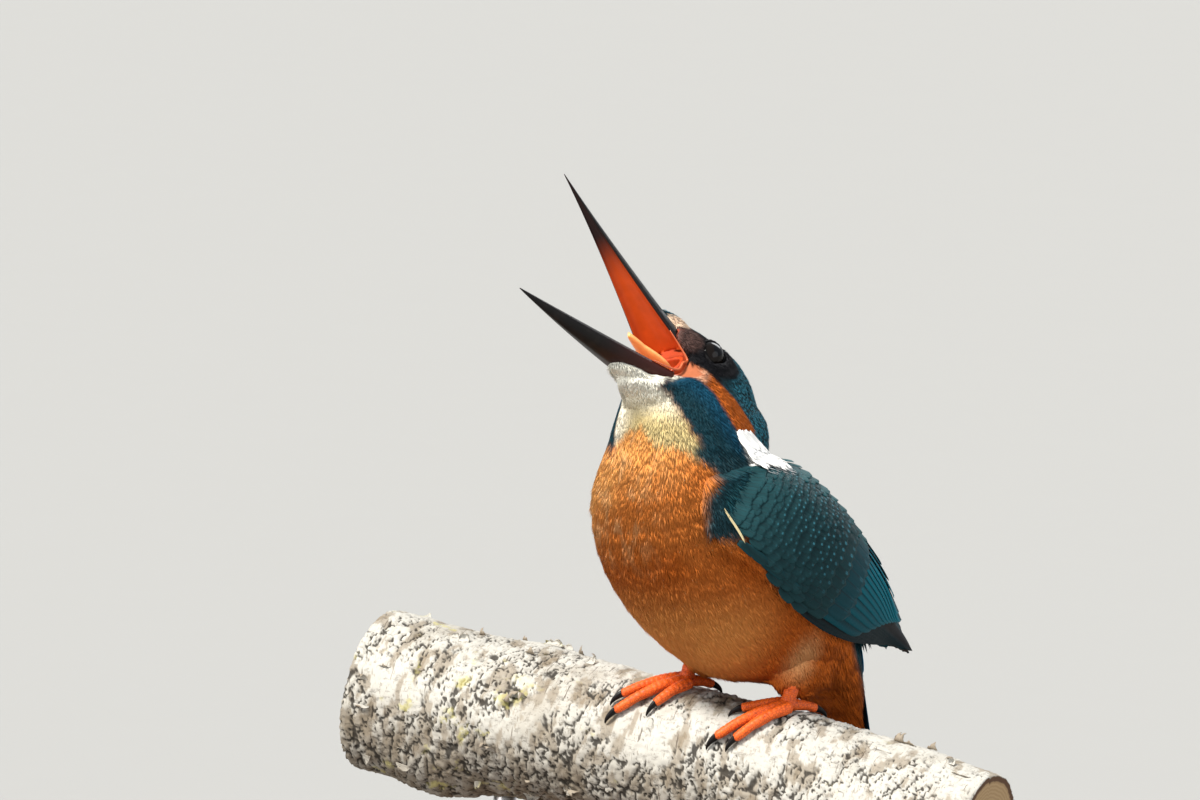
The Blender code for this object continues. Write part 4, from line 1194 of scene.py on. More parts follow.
def make_patch(side, word, finish):
    """White plumes that fan out from the side of the neck over the shoulder."""
    rng = np.random.default_rng(SEED + 3 * side)
    tree = tree_of("head", "neck", "trunk", *WINGS)
    start, along, spread = patch_sides(side)
    inwards = Vector(turned(np.array((0.0, -side, 0.0)), BIRD))
    shape = Shape()
    s = np.linspace(0, 1, 9)
    for number in range(PLUMES):
        tip = rng.uniform(0.3, 1.04)
        off = rng.uniform(-0.95, 0.95)
        shares = tip - min(rng.uniform(0.4, 0.5), tip) * (1 - s)
        line = start + along * shares[:, None] + spread * (off * (0.45 + 0.5 * shares))[:, None]
        outside = moved(line * (1, 0, 1) + np.array((0.0, 40.0 * side, 0.0)), BIRD) * MM
        hits = [tree.ray_cast(Vector(place), inwards) for place in outside]
        if any(hit[0] is None for hit in hits):
            continue
        line = moved(np.array([hit[0] for hit in hits]) / MM, TO_BIRD)
        normal = unit(turned(np.array([hit[1] for hit in hits]), TO_BIRD).mean(0))
        lift = np.interp(shares, (0.3, 0.75), (0.05, 0.9)) + (0.3 + rng.uniform(0, 0.3)) * s
        vane(
            shape, line + normal * lift[:, None], np.broadcast_to(normal, line.shape), rng.uniform(1.1, 1.6),
            outline_of(9, 0.5, 0.35, 0.55), rng.uniform(-0.2, 0.2), 0.3, 0.12, 1, (number, PATCH_CELLS),
            pelt=np.array(WHITE) * rng.uniform(0.72, 0.84), tone=rng.uniform(0, 1), gloss=0.0, bars=0.0,
        )
    bake_map(shape.made(f"plumage_patch_{word}", BIRD, finish, "feathers").data)


def bake_map(mesh):
    """Turns the point attribute bake into the corners' map OFBake, one patch for each vane."""
    place = read(mesh.attributes["bake"].data, "vector", 2).astype(np.float32)
    corner = np.empty(len(mesh.loops), np.int32)
    mesh.loops.foreach_get("vertex_index", corner)
    mesh.uv_layers.new(name="OFBake").uv.foreach_set("vector", place[corner].ravel())
    mesh.attributes.remove(mesh.attributes["bake"])


def make_tail(finish):
    """Twelve tail feathers in a closed fan, the middle pair outermost over the back."""
    rng = np.random.default_rng(SEED)
    shape = Shape()
    numbers = itertools.count()
    along = TAIL_TIP - TAIL_ROOT
    out = -unit(np.cross(along, (0, 1, 0)))
    s = np.linspace(0, 1, 20)[:, None]

    def lay(line, lean, width, outline, camber, thick, tone, rim, edge):
        normals = np.broadcast_to(out + np.array((0, lean, 0)), line.shape)
        vane(
            shape, line, normals, width, outline_of(len(line), *outline), 0.0, camber, thick, 1,
            (next(numbers), TAIL_CELLS), pelt=tone, tone=rng.uniform(0, 1), spot=0.0, rim=rim, edge=edge,
        )

    for pair in range(6):
        for side, _ in SIDES:
            reach = (1.5 + 0.9 * pair) * side
            line = TAIL_ROOT + along * s * (1.0 - 0.028 * pair) + (0, 1, 0) * (reach * 0.5 + s * reach * 0.72)
            over = 0.75 - 0.24 * pair + 0.1 * side * (pair == 0)
            line = line + out * (over - 0.014 * line[:, 1:2] ** 2)
            tone = TAIL_TONE * rng.uniform(0.9, 1.1)
            lay(line, 0.05 * reach, 6.0 - 0.2 * pair, (0.45, 0.4, 0.84), 0.06, 0.18, tone, 0.7, TAIL_EDGE)
    # uppertail coverts, azure, over the root
    s = s[::2]
    for row in range(4):
        for k in range(5 - row % 2):
            y = (k - (4 - row % 2) / 2) * 2.4
            start = TAIL_ROOT + along * (-0.22 + 0.13 * row) + np.array((0.9, y * 0.8, 0))
            line = start + along * s * 0.3 + np.array((0, y * 0.2, 0)) * s + out * (1.3 - 0.2 * row + 0.1 * s)
            lay(line, 0.04 * y, 4.6, (0.5, 0.4, 0.6), 0.15, 0.16, RUMP_TONE, 0.5, RUMP_EDGE)
    tail = shape.made("plumage_tail", BIRD, finish, "feathers")
    bake_map(tail.data)
    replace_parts(tail, "tail")


# ---------------------------------------------------------------- bill, mouth and eyes


def bill_rings(ends, half_width, height, swell, way, stations=64, count=18):
    """One mandible's rings, arched outside and hollow inside, and where the lining is, and how far along."""
    start, tip_x = ends
    t = np.linspace(0, 0.995, stations)[:, None]
    half = half_width[0] * (1 - t) ** half_width[1] + 0.3 * (1 - t) ** 0.3
    rise = height[0] * (1 - t) ** height[1] + swell * np.sin(np.pi * t) + 0.5 * (1 - t) ** 0.3
    turn = np.pi * np.arange(count + 1)[None, :] / count
    x = start + (tip_x - start) * t
    edge = way * 0.25
    from_top = turn - np.pi / 2
    ridge = 0.22 * np.exp(-((from_top / 0.22) ** 2)) * np.clip(1.2 - t, 0, 1)
    side_hollow = 0.25 * np.exp(-(((np.abs(from_top) - 0.85) / 0.3) ** 2)) * (1 - t) * (way > 0)
    y = (half - side_hollow) * np.cos(turn)
    z = edge + way * (rise * np.sin(turn) ** 0.8 + ridge)
    arch = np.stack([np.broadcast_to(x, y.shape), y, z], -1)
    groove = 0.12 * np.exp(-((from_top / 0.12) ** 2))
    folds = 0.05 * np.sin(7 * np.cos(turn) * np.pi) * np.sin(turn)
    deep = rise * BILL_HOLLOW * np.sin(turn) - (groove + folds) * np.clip(1.1 - t, 0, 1)
    roof = edge + way * np.maximum(deep, -0.1)
    inner = np.stack([np.broadcast_to(x, y.shape), half * 0.9 * np.cos(turn), roof], -1)
    rings = np.concatenate([arch, inner[:, -1:0:-1]], 1)
    lining = np.concatenate([np.zeros(arch.shape[:2]), np.ones((stations, count))], 1)
    return rings, lining, np.broadcast_to(x, lining.shape)


def press_nostrils(rings):
    """Presses the nostrils in as slits beside the ridge of the upper bill."""
    x, y, z = np.moveaxis(rings, -1, 0)
    ahead = x - 11.6
    near = np.exp(-((ahead / 1.5) ** 2) - ((z - 3.15 - 0.05 * ahead) / 0.42) ** 2) * (np.abs(y) > 1.0)
    rings[..., 1] -= np.sign(y) * 0.55 * near


def make_bill(horn):
    for name, space, way, ends, half_width, height, swell in (
        ("upper", LIFTED, 1, (1.8, BILL_LENGTH), UPPER_HALF_WIDTH, UPPER_HEIGHT, 0.2),
        ("lower", JAW, -1, (1.0, BILL_LENGTH - 1.0), LOWER_HALF_WIDTH, LOWER_HEIGHT, 0.9),
    ):
        rings, lining, along = bill_rings(ends, half_width, height, swell, way)
        if name == "upper":
            press_nostrils(rings)
        shape = Shape().loft(rings, lining=lining, along=along, lower=float(way < 0))
        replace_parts(shape.made(f"bill_{name}_horn", BIRD @ space, horn, "horn"), f"bill_{name}")


def bowed(wave):
    """A wave with fuller shoulders, for rings a little squarer than an ellipse."""
    return np.copysign(np.abs(wave) ** 0.78, wave)


def mouth_ring(x, half_width, inset, count=40):
    roof = 0.3 + math.tan(UPPER_LIFT) * (x + 6) - inset
    floor = (about(JAW_HINGE, JAW_OPEN) @ Vector((x, 0, -0.2))).z + inset
    turn = round_turn(count)
    y = (half_width - inset) * bowed(np.cos(turn))
    half_height = (roof - floor) / 2 + 0.07 * np.sin(9 * turn + x)
    return np.stack([np.full(count, x), y, (roof + floor) / 2 + bowed(np.sin(turn)) * half_height], -1)


def make_mouth(finish):
    """The lining of the mouth and the folds at its corners."""
    stations = np.linspace(-5.4, 1.4, 14)
    halves = np.interp(stations, (-5.5, -3.0, -0.5, 1.6), (3.0, 4.6, 5.1, 5.5))
    outer = [mouth_ring(x, half, -0.35) for x, half in zip(stations, halves)]
    inner = [mouth_ring(x, half, 0.35) for x, half in zip(stations, halves)]
    shape = Shape().loft(np.array(outer + inner[::-1]), wet=1.0)
    # one fold of skin each side joins the mandibles' edges at the corner of the gape
    upper = np.array(((7.5, 4.9, 0.1), (3.5, 5.3, 0.0), (0.2, 5.8, -0.7)))
    lower = np.array(((-0.6, 6.1, 2.6), (0.4, 5.8, 0.7), (3.5, 5.2, 0.1), (7.5, 4.7, -0.1)))
    upper, lower = moved(upper, about(LIFT_HINGE, -UPPER_LIFT)), moved(lower, about(JAW_HINGE, JAW_OPEN))
    for side, _ in SIDES:
        line = spline(np.concatenate([upper, lower]) * (1, side, 1), np.linspace(0, 6, 40))
        radius = 0.28 * np.sin(np.linspace(0.12, np.pi - 0.12, 40)) ** 0.6
        shape.loft(tube_rings(line, radius, 12), wet=0.0)
    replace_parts(shape.made("mouth_lining", BIRD @ HEAD, finish, "mouth"), "head")


def make_tongue(finish):
    t, turn = np.linspace(0, 0.995, 40)[:, None], round_turn(28)[None, :]
    half = 2.5 * np.sqrt(1 - t**2.2) * (0.75 + 0.5 * np.sin(np.pi * np.minimum(1.0, t * 1.4)))
    thick = TONGUE_THICK * (1 - 0.6 * t)
    height = TONGUE_HEIGHT + TONGUE_RISE * t
    groove = 0.3 * np.exp(-((np.cos(turn) / 0.18) ** 2)) * (np.sin(turn) > 0) * np.sin(np.pi * t)
    pimples = 0.04 * np.sin(40 * t + 3 * np.cos(turn) * 4) * np.sin(9 * turn)
    x = np.broadcast_to(-4.0 + TONGUE_LENGTH * t, (40, 28))
    rings = np.stack([x, half * np.cos(turn), height + (thick + pimples) * np.sin(turn) - groove], -1)
    tongue = Shape().loft(rings, wet=2.0).made("tongue_flesh", BIRD @ JAW, finish, "mouth")
    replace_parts(tongue, "tongue")


def tube_rings(line, radius, sides):
    """Rings round a line of points, without a twist between them."""
    radius = np.broadcast_to(radius, (len(line),))
    ahead = unit(np.gradient(line, axis=0))
    across = np.cross(ahead[0], (0.3, 0.2, 0.93))
    rings = []
    turn = round_turn(sides)[:, None]
    for place, way, size in zip(line, ahead, radius):
        across = unit(across - way * (across @ way))
        other = np.cross(way, across)
        rings.append(place + (across * np.cos(turn) + other * np.sin(turn)) * size)
    return np.array(rings)


LID_PROFILE = (  # how far past the opening's edge, how far out from the ball
    (0.06, -0.25), (0.0, 0.12), (0.015, 0.34), (0.08, 0.46), (0.17, 0.42), (0.26, 0.3), (0.42, 0.2),
    (0.62, 0.0), (0.72, -0.5), (0.4, -0.6),
)


def make_eyes(ball_finish, skin_finish, columns=72):
    lids = Shape()
    for side, word in SIDES:
        axis = unit(np.array((0.22, side * 1.0, 0.1)))
        ahead = unit(np.array((1.0, 0, 0)) - axis * axis[0])
        above = np.cross(ahead, axis) * side
        centre = EYE_PLACE * (1, side, 1)
        theta = np.linspace(0.012, np.pi - 0.02, 60)[:, None]
        turn = round_turn(columns)[None, :]
        radius = EYE_RADIUS + 0.22 * np.exp(-((theta / 0.55) ** 2))
        around = np.cos(turn)[..., None] * ahead + np.sin(turn)[..., None] * above
        outwards = np.cos(theta)[..., None] * axis + np.sin(theta)[..., None] * around
        tilts, turns = np.broadcast_arrays(theta, turn)
        ball = Shape().loft(centre + radius[..., None] * outwards, tilt=tilts, turn=turns)
        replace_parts(ball.made(f"eye_{word}_ball", BIRD @ HEAD, ball_finish, "eye"), f"eye_{word}")
        # the lids: a beaded rim round an opening a little longer than high, and a skirt down to the skin
        turn, around = turn[0], around[0]
        edge = np.radians(54 + 5 * np.cos(turn) ** 2 - 3 * np.maximum(np.sin(turn), 0))
        rim = []
        for past, out in LID_PROFILE:
            bead = 0.05 * np.sin(18 * turn) * (0.0 < past < 0.2)
            angle, size = (edge + past)[:, None], (EYE_RADIUS + out + bead)[:, None]
            rim.append(centre + size * (np.cos(angle) * axis + np.sin(angle) * around))
        faces = grid_faces(len(rim) + 1, columns, True) % (len(rim) * columns)
        lids.add(np.array(rim), faces)
    lids.made("eyelids", BIRD @ HEAD, skin_finish, "eye")


# ---------------------------------------------------------------- feet


def bird_from_perch(points):
    return moved(points, TO_BIRD @ PERCH)


def under_foot(side):
    """The middle of the limb below a foot, in the bird's frame."""
    return bird_from_perch(np.array((BIRD_PLACE + FOOT_PLACES[side], 0.0, 0.0)))


def toe_line(side, spread, length, step, count):
    """A toe's middle line over the bark, and its radius there."""
    aim = TOE_AIM - side * math.radians(spread)
    share = np.linspace(0, 1, count)
    run, radius = length * share, TOE_RADIUS * (1 - 0.3 * share)
    along = BIRD_PLACE + FOOT_PLACES[side] - math.sin(aim) * run + side * step * math.cos(aim)
    ahead = FOOT_AHEAD + math.cos(aim) * run + side * step * math.sin(aim)
    return bird_from_perch(perch_points(along, ahead / PERCH_THICK, radius + TOE_GAP)), radius


def toe_rings(line, radius, core, joints, sides=30):
    """Rings of a scaly toe: plates across its top, pads between the joints below."""
    rings = tube_rings(line, 1.0, sides)
    count = len(line)
    away = unit(line - core)[:, None]
    spoke = rings - line[:, None]
    top = (spoke * away).sum(-1)
    s = np.linspace(0, 1, count)[:, None]
    plates = 0.085 * np.abs(np.sin(s * np.pi * joints * 4.5)) ** 0.5 - 0.07
    pads = 0.15 * np.abs(np.sin(s * np.pi * joints)) ** 0.8 - 0.08
    pebbles = 0.03 * np.sin(s * 95) * np.sin(round_turn(sides)[None] * 9)
    swell = np.where(top > 0.25, plates * 1.6, np.where(top < -0.2, pads + pebbles, pebbles))
    ends = np.sqrt(np.clip(1 - np.clip((s - 0.93) / 0.07, 0, 1) ** 2, 0.04, 1))
    return line[:, None] + spoke * ((radius[:, None] * (1 + swell)) * ends)[..., None]


def claw_rings(side, spread, length, step, sides=14, stations=16):
    *_, before, end = toe_line(side, spread, length, step, 7)[0]
    ahead = unit(end - before)
    outwards = end - under_foot(side)
    outwards = unit(outwards - ahead * (outwards @ ahead))
    bend = CLAW_LENGTH / CLAW_CURVE
    start = end - ahead * 0.5
    rings = []
    angle = round_turn(sides)[:, None]
    for t in np.linspace(0, 1, stations):
        turn = CLAW_CURVE * t
        place = start + ahead * (bend * math.sin(turn)) - outwards * (bend * (1 - math.cos(turn)) * 0.55)
        forward = unit(ahead * math.cos(turn) - outwards * math.sin(turn) * 0.55)
        up = unit(outwards - forward * (outwards @ forward))
        across = np.cross(forward, up)
        radius = CLAW_RADIUS * max((1 - t) ** 0.7, 0.03)
        rings.append(place + up * (radius * np.cos(angle)) + across * (radius * 0.72 * np.sin(angle)))
    return np.array(rings)


def make_feet(skin_finish, horn):
    for side, word in SIDES:
        shape, claws = Shape(), Shape()
        core = under_foot(side)
        ankle = perch_points(BIRD_PLACE + FOOT_PLACES[side], FOOT_AHEAD / PERCH_THICK, TOE_RADIUS + TOE_GAP)
        ankle = bird_from_perch(ankle)
        line = ankle + TARSUS_LEAN * np.linspace(-0.08, 1.25, 40)[:, None]
        radius = TARSUS_RADIUS * np.linspace(0.98, 1.2, 40)
        shape.loft(toe_rings(line, radius, ankle + TARSUS_LEAN / 2 - (9.0, 0, 0), 2.0))
        for _, spread, length, step, joints in TOES:
            line, radius = toe_line(side, spread, length, step, 60)
            shape.loft(toe_rings(line, radius, core, joints))
            claws.loft(claw_rings(side, spread, length, step))
        foot = remeshed(shape.mesh("toes", Matrix.Identity(4)), TOE_VOXEL, 1)
        foot.transform(Matrix.Scale(MM, 4) @ BIRD @ Matrix.Scale(1 / MM, 4))
        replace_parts(shown(foot, f"foot_{word}_skin", skin_finish), f"foot_{word}")
        horns = claws.made(f"claws_{word}", BIRD, horn, "horn")
        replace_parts(horns, *(f"claw_{word}_{name}" for name, *_ in TOES))


# ---------------------------------------------------------------- birch limb


def noise_at(points, size, octaves):
    return uneven_at(points, size, octaves, 0.9)


def cracks_at(points, size, width):
    """How close points lie to the borders of irregular plates, 1 on a border."""
    found = np.array([noise.voronoi(Vector(p))[0][:2] for p in (points / size).tolist()])
    return np.exp(-(((found[:, 1] - found[:, 0]) / width) ** 2))


def bark_relief(along, angle):
    """Height of the bark over the limb's form, its cracks, how many layers have peeled, and its underside."""
    ground = perch_points(along, angle).reshape(-1, 3)
    flat = ground * np.array((1.0, 0.45, 0.45))  # plates are longer round the limb than along it
    under = soft(-np.cos(angle).ravel() - 0.1 + 0.4 * noise_at(ground, 14.0, 3), 0.7)
    broad = noise_at(ground, 9.0, 4)
    layers = np.clip(2.2 + 2.1 * noise_at(flat + 40.0, 3.6, 4) - 0.7 * under, 0, 4)
    step = np.floor(layers) + soft(layers - np.floor(layers) - 0.82, 0.16)
    rough_zone = soft(noise_at(ground + 90.0, 13.0, 2) + 0.1 + 1.1 * under, 0.4)
    crack = cracks_at(flat + 0.9 * noise_at(ground, 2.0, 3)[:, None], 2.3, 0.09) * rough_zone
    fine = cracks_at(flat * (1.6, 1, 1) + 7.0 + 0.5 * noise_at(ground, 1.2, 2)[:, None], 1.4, 0.05)
    fine = fine * soft(noise_at(ground + 20.0, 6.0, 2) + 0.15, 0.3)
    height = 0.26 * broad + 0.13 * (step - 2) + (0.08 + 0.2 * rough_zone) * noise_at(ground, 1.1, 3)
    height = height - 0.55 * crack - 0.12 * fine
    both = np.clip(crack + 0.4 * fine, 0, 1)
    return tuple(values.reshape(np.shape(along)) for values in (height, both, step / 4, under))


def make_perch(finish, rows=350, columns=230):
    along = np.linspace(-PERCH_LENGTH / 2, PERCH_LENGTH / 2, rows)[:, None]
    along, angle = np.broadcast_arrays(along, round_turn(columns)[None, :])
    height, *looks = bark_relief(along, angle)
    near_end = soft(PERCH_LENGTH / 2 - np.abs(along) - 0.5, 0.5)
    rings = perch_points(along, angle, height - 0.25 * (1 - near_end))
    shares, count = np.array(CUT_RINGS), len(CUT_RINGS)
    middles = rings[[0, -1]].mean(1, keepdims=True)
    first, last = (middles + (rings[[0, -1]] - middles) * shares[:, None, None, None]).swapaxes(0, 1)
    crack, layer, under = (np.pad(look, ((count, count), (0, 0)), "edge") for look in looks)
    cut = np.broadcast_to(np.pad(np.zeros(rows), count, constant_values=1.0)[:, None], crack.shape)
    radial = np.broadcast_to(np.concatenate([shares, np.ones(rows), shares[::-1]])[:, None], crack.shape)
    rings = np.concatenate([first, rings, last[::-1]])
    shape = Shape().loft(rings, crack=crack, layer=layer, under=under, cut=cut, radial=radial, curl=0.0)
    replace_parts(shape.made("perch_birch", PERCH, finish, "bark"), "perch")


def make_curls(finish):
    """Papery curls where the bark peels, hinged along the limb and rolled back round it."""
    rng = np.random.default_rng(SEED)
    shape = Shape()
    for _ in range(CURL_COUNT):
        along = rng.uniform(-0.49, 0.49) * PERCH_LENGTH
        angle = rng.uniform(0, 2 * np.pi)
        over_feet = abs(along - BIRD_PLACE) < 34 and (angle < 1.9 or angle > 5.6)
        if over_feet and rng.uniform() < 0.86:
            continue
        size = 0.5 if over_feet else 1.0
        length, radius = rng.uniform(1.2, 4.6) * size, rng.uniform(0.35, 0.95) * size
        arc = rng.uniform(1.0, 3.6)
        way = 1 if rng.uniform() < 0.5 else -1
        slant = rng.uniform(-0.35, 0.35)
        u, w = np.linspace(-1, 1, 9)[:, None], np.linspace(0, 1, 8)[None, :]
        ragged = 1 + 0.25 * np.sin(5 * u + rng.uniform(0, 6)) + 0.15 * np.sin(13 * u + rng.uniform(0, 6))
        ragged = ragged * (1 - 0.75 * np.abs(u) ** 3)
        rolled = arc * w * ragged
        radius = radius * (1 + 0.25 * np.sin(2 * u + 1))
        travel, lift = way * radius * np.sin(rolled), radius * (1 - np.cos(rolled))
        on_bark = perch_points(along + u * length / 2 + slant * travel, angle + travel / PERCH_THICK, 0.0)
        below = perch_points(along + u * length / 2 + 0 * w, angle + 0 * travel, -5.0)
        height, _, _, under = bark_relief(np.array([along]), np.array([angle]))
        sheet = on_bark + unit(on_bark - below) * (lift + height[0] + 0.05)[..., None]
        normal = unit(np.cross(np.gradient(sheet, axis=0), np.gradient(sheet, axis=1)))
        top, bottom = sheet + normal * CURL_THICK / 2, sheet - normal * CURL_THICK / 2
        rings = np.concatenate([top, bottom[:, ::-1]], 1)
        inner = np.concatenate([np.zeros(top.shape[:2]), np.ones(top.shape[:2])], 1)
        curl = 1.0 + (1 - inner if way > 0 else inner)
        looks = {"layer": rng.uniform(0.3, 1.0), "under": under[0], "curl": curl}
        shape.loft(rings, crack=0.0, cut=0.0, radial=1.0, **looks)
    shape.made("bark_curls", PERCH, finish, "bark")


# ---------------------------------------------------------------- stand


BASE_PROFILE = (  # how far in from the edge, height
    (1.4, 0.0), (0.5, 0.25), (0.0, 0.9), (0.0, 6.8), (0.35, 7.6), (1.1, 8.0), (1.5, 8.1), (1.5, 8.8),
    (1.7, 9.6), (2.3, 10.5), (3.2, 11.25), (4.3, 11.75), (5.6, BASE_HEIGHT), (6.4, BASE_HEIGHT),
    (20.0, BASE_HEIGHT),
)
COLLAR_PROFILE = (  # radius, height
    (4.6, 11.9), (4.9, 12.1), (4.9, 12.9), (4.7, 13.2), (3.4, 13.5), (3.1, 13.9), (3.1, 15.0), (2.9, 15.3),
)
COLLAR_TOP = 15.5


def make_base(finish):
    rings = []
    for inset, z in BASE_PROFILE:
        corner = max(BASE_CORNER - inset, 1.5)
        reach = np.array((BASE_LENGTH, BASE_DEPTH)) / 2 - inset - corner
        ring = []
        for k, ways in enumerate(((1, 1), (-1, 1), (-1, -1), (1, -1))):
            for turn in math.pi / 2 * (k + np.arange(13) / 12):
                ring.append((*(reach * ways + corner * np.array((math.cos(turn), math.sin(turn)))), z))
        rings.append(ring)
    base = Shape().loft(np.array(rings)).made("base_board", Matrix.Identity(4), finish, "base_wood")
    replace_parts(base, "stand_base")


def make_rods(finish, sides=48):
    turn = round_turn(sides)
    for number, place in enumerate(ROD_PLACES, 1):
        top = (PERCH @ Vector(perch_points(place, math.pi))).z + ROD_SEAT
        foot = ((2.2, BASE_HEIGHT - ROD_SEAT), (ROD_RADIUS, BASE_HEIGHT - ROD_SEAT + 0.4), (ROD_RADIUS, 11.4))
        shaft = ((ROD_RADIUS, z) for z in (COLLAR_TOP, (top + COLLAR_TOP) / 2, top - 0.4))
        rings = [
            np.stack([place + r * np.cos(turn), PERCH_SET_BACK + r * np.sin(turn), np.full(sides, z)], -1)
            for r, z in (*foot, *COLLAR_PROFILE, *shaft, (2.1, top))
        ]
        rod = Shape().loft(np.array(rings))
        rod = rod.made(f"rod_{number}_turned", Matrix.Identity(4), finish, "rod_steel")
        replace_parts(rod, f"stand_rod_{number}")


# ---------------------------------------------------------------- finishes


def plumage_finish():
    f = Finish("plumage", specular_ior_level=0.08)
    x, y, _ = f.parts(f.attribute("leaf", 1))
    tone, gloss = f.attribute("tone"), f.attribute("gloss")
    grain = f.noise(f.place(), 700.0, 2.0)
    # painted shade: each tuft is darker towards its root, under the tufts that lie over it; tone and grain
    # vary at random
    light = (0.92 + 0.1 * y.over(0.0, 0.9)) * (0.94 + 0.12 * tone) * (0.93 + 0.14 * grain)
    bar = f.attribute("bars") * y.over(0.5, 0.68) * y.over(1.0, 0.86) * tone.over(0.2, 0.5)
    f.bump((abs(x - 0.5) * 55.0 + y * 30.0).sin(), 0.25, 0.05)
    return f.done(f.mix(bar * 0.8, f.lit(f.attribute("pelt", 0), light), BARRED), 0.78 - 0.34 * gloss)


def skin_finish():
    f = Finish("under_plumage", 0.8, specular_ior_level=0.2)
    grain = f.noise(f.place(), 900.0)
    f.bump(grain, 0.5, 0.2)
    # painted shade: the pelt is darkened to 0.72-0.92 of itself on the skin between the tufts, varied by
    # grain
    return f.done(f.lit(f.attribute("pelt", 0), 0.72 + 0.2 * grain))


def vane_finish():
    f = Finish("flight_feather", specular_ior_level=0.06)
    x, y, _ = f.parts(f.attribute("leaf", 1))
    off = abs(x - 0.5)
    grain = f.noise(f.place(), 600.0, 2.0)
    across, up = (x - 0.5) * 1.25, (y - 0.86) * 2.0
    spot = f.attribute("spot") * ((across * across + up * up) ** 0.5).over(0.17, 0.07)
    # painted shade: each vane is darker towards its root, under the feathers that lie over it; grain varies
    # at random
    colour = f.layered(
        f.lit(f.attribute("pelt", 0), (0.78 + 0.26 * y.over(0.1, 0.85)) * (0.85 + 0.3 * grain)),
        (f.attribute("rim") * off.over(0.2, 0.46), f.attribute("edge", 0)),
        (spot * 0.75, SPOTTED),
        (off.over(0.03, 0.012) * 0.55, SHAFT),
    )
    f.bump((y * 230.0 - off * 90.0).sin() + 0.6 * (x * 60.0).sin(), 0.22, 0.05)
    return f.done(colour, 0.6 - 0.1 * grain)


def horn_finish():
    f = Finish("horn", specular_ior_level=0.18)
    place, along = f.place(), f.attribute("along")
    grain = f.noise(place, 420.0, 4.0)
    outer = f.layered(
        (0.005, 0.004, 0.004),
        (grain.over(0.45, 0.8) * 0.6, (0.017, 0.012, 0.01)),
        (f.attribute("lower") * along.over(24.0, 4.0) * 0.7, (0.07, 0.014, 0.01)),
    )
    inner = f.mix(along.over(20.0, 33.0), (0.5, 0.062, 0.008), (0.018, 0.008, 0.007))
    f.bump(f.noise(place, 260.0, 5.0), 0.25, 0.12)
    return f.done(f.mix(f.attribute("lining"), outer, f.lit(inner, 0.8 + 0.4 * grain)), 0.3 + 0.16 * grain)


def mouth_finish():
    f = Finish(
        "mouth_flesh", specular_ior_level=0.6, subsurface_weight=0.12, subsurface_radius=(1.0, 0.35, 0.2),
        subsurface_scale=0.8 * MM,
    )
    wet = f.attribute("wet")
    grain = f.noise(f.place(), 500.0)
    fold, lining, tongue = (0.55, 0.12, 0.04), (0.48, 0.058, 0.012), (1.0, 0.44, 0.13)
    colour = f.layered(fold, (wet.over(0.2, 0.8), lining), (wet.over(1.2, 1.8), tongue))
    f.bump(grain, 0.35, 0.12)
    return f.done(f.lit(colour, 0.78 + 0.4 * grain), 0.24 + 0.2 * grain)


def eye_finish():
    f = Finish("eye_glass", 0.04, specular_ior_level=0.15)
    tilt, turn = f.attribute("tilt"), f.attribute("turn")
    rays = (turn * 46.0 + 3.0 * (tilt * 9.0).sin()).sin() * 0.5 + 0.5
    iris = f.mix(rays * 0.6, (0.004, 0.003, 0.003), (0.011, 0.007, 0.005))
    pupil, rim = (0.003, 0.003, 0.004), (0.003, 0.003, 0.003)
    return f.done(f.layered(pupil, (tilt.over(0.4, 0.43), iris), (tilt.over(0.82, 0.98), rim)))


def lid_finish():
    f = Finish("eyelid_skin", 0.6, specular_ior_level=0.12)
    grain = f.cells(f.place(), 2600.0)
    f.bump(grain, 0.4, 0.08)
    return f.done(f.mix(grain, (0.004, 0.004, 0.005), (0.014, 0.012, 0.012)))


def leg_finish():
    f = Finish(
        "leg_scales", specular_ior_level=0.3, subsurface_weight=0.08, subsurface_radius=(1.0, 0.3, 0.15),
        subsurface_scale=0.6 * MM,
    )
    place = f.place()
    scales = f.cells(place, 1700.0, "DISTANCE_TO_EDGE")
    grain = f.noise(place, 320.0)
    colour = f.layered(
        (0.6, 0.07, 0.006),
        (grain, (0.82, 0.15, 0.014)),
        (scales.over(0.12, 0.0) * 0.75, (0.25, 0.026, 0.009)),
    )
    f.bump(scales.over(0.0, 0.18), 0.5, 0.06)
    return f.done(colour, 0.36 + 0.2 * grain)


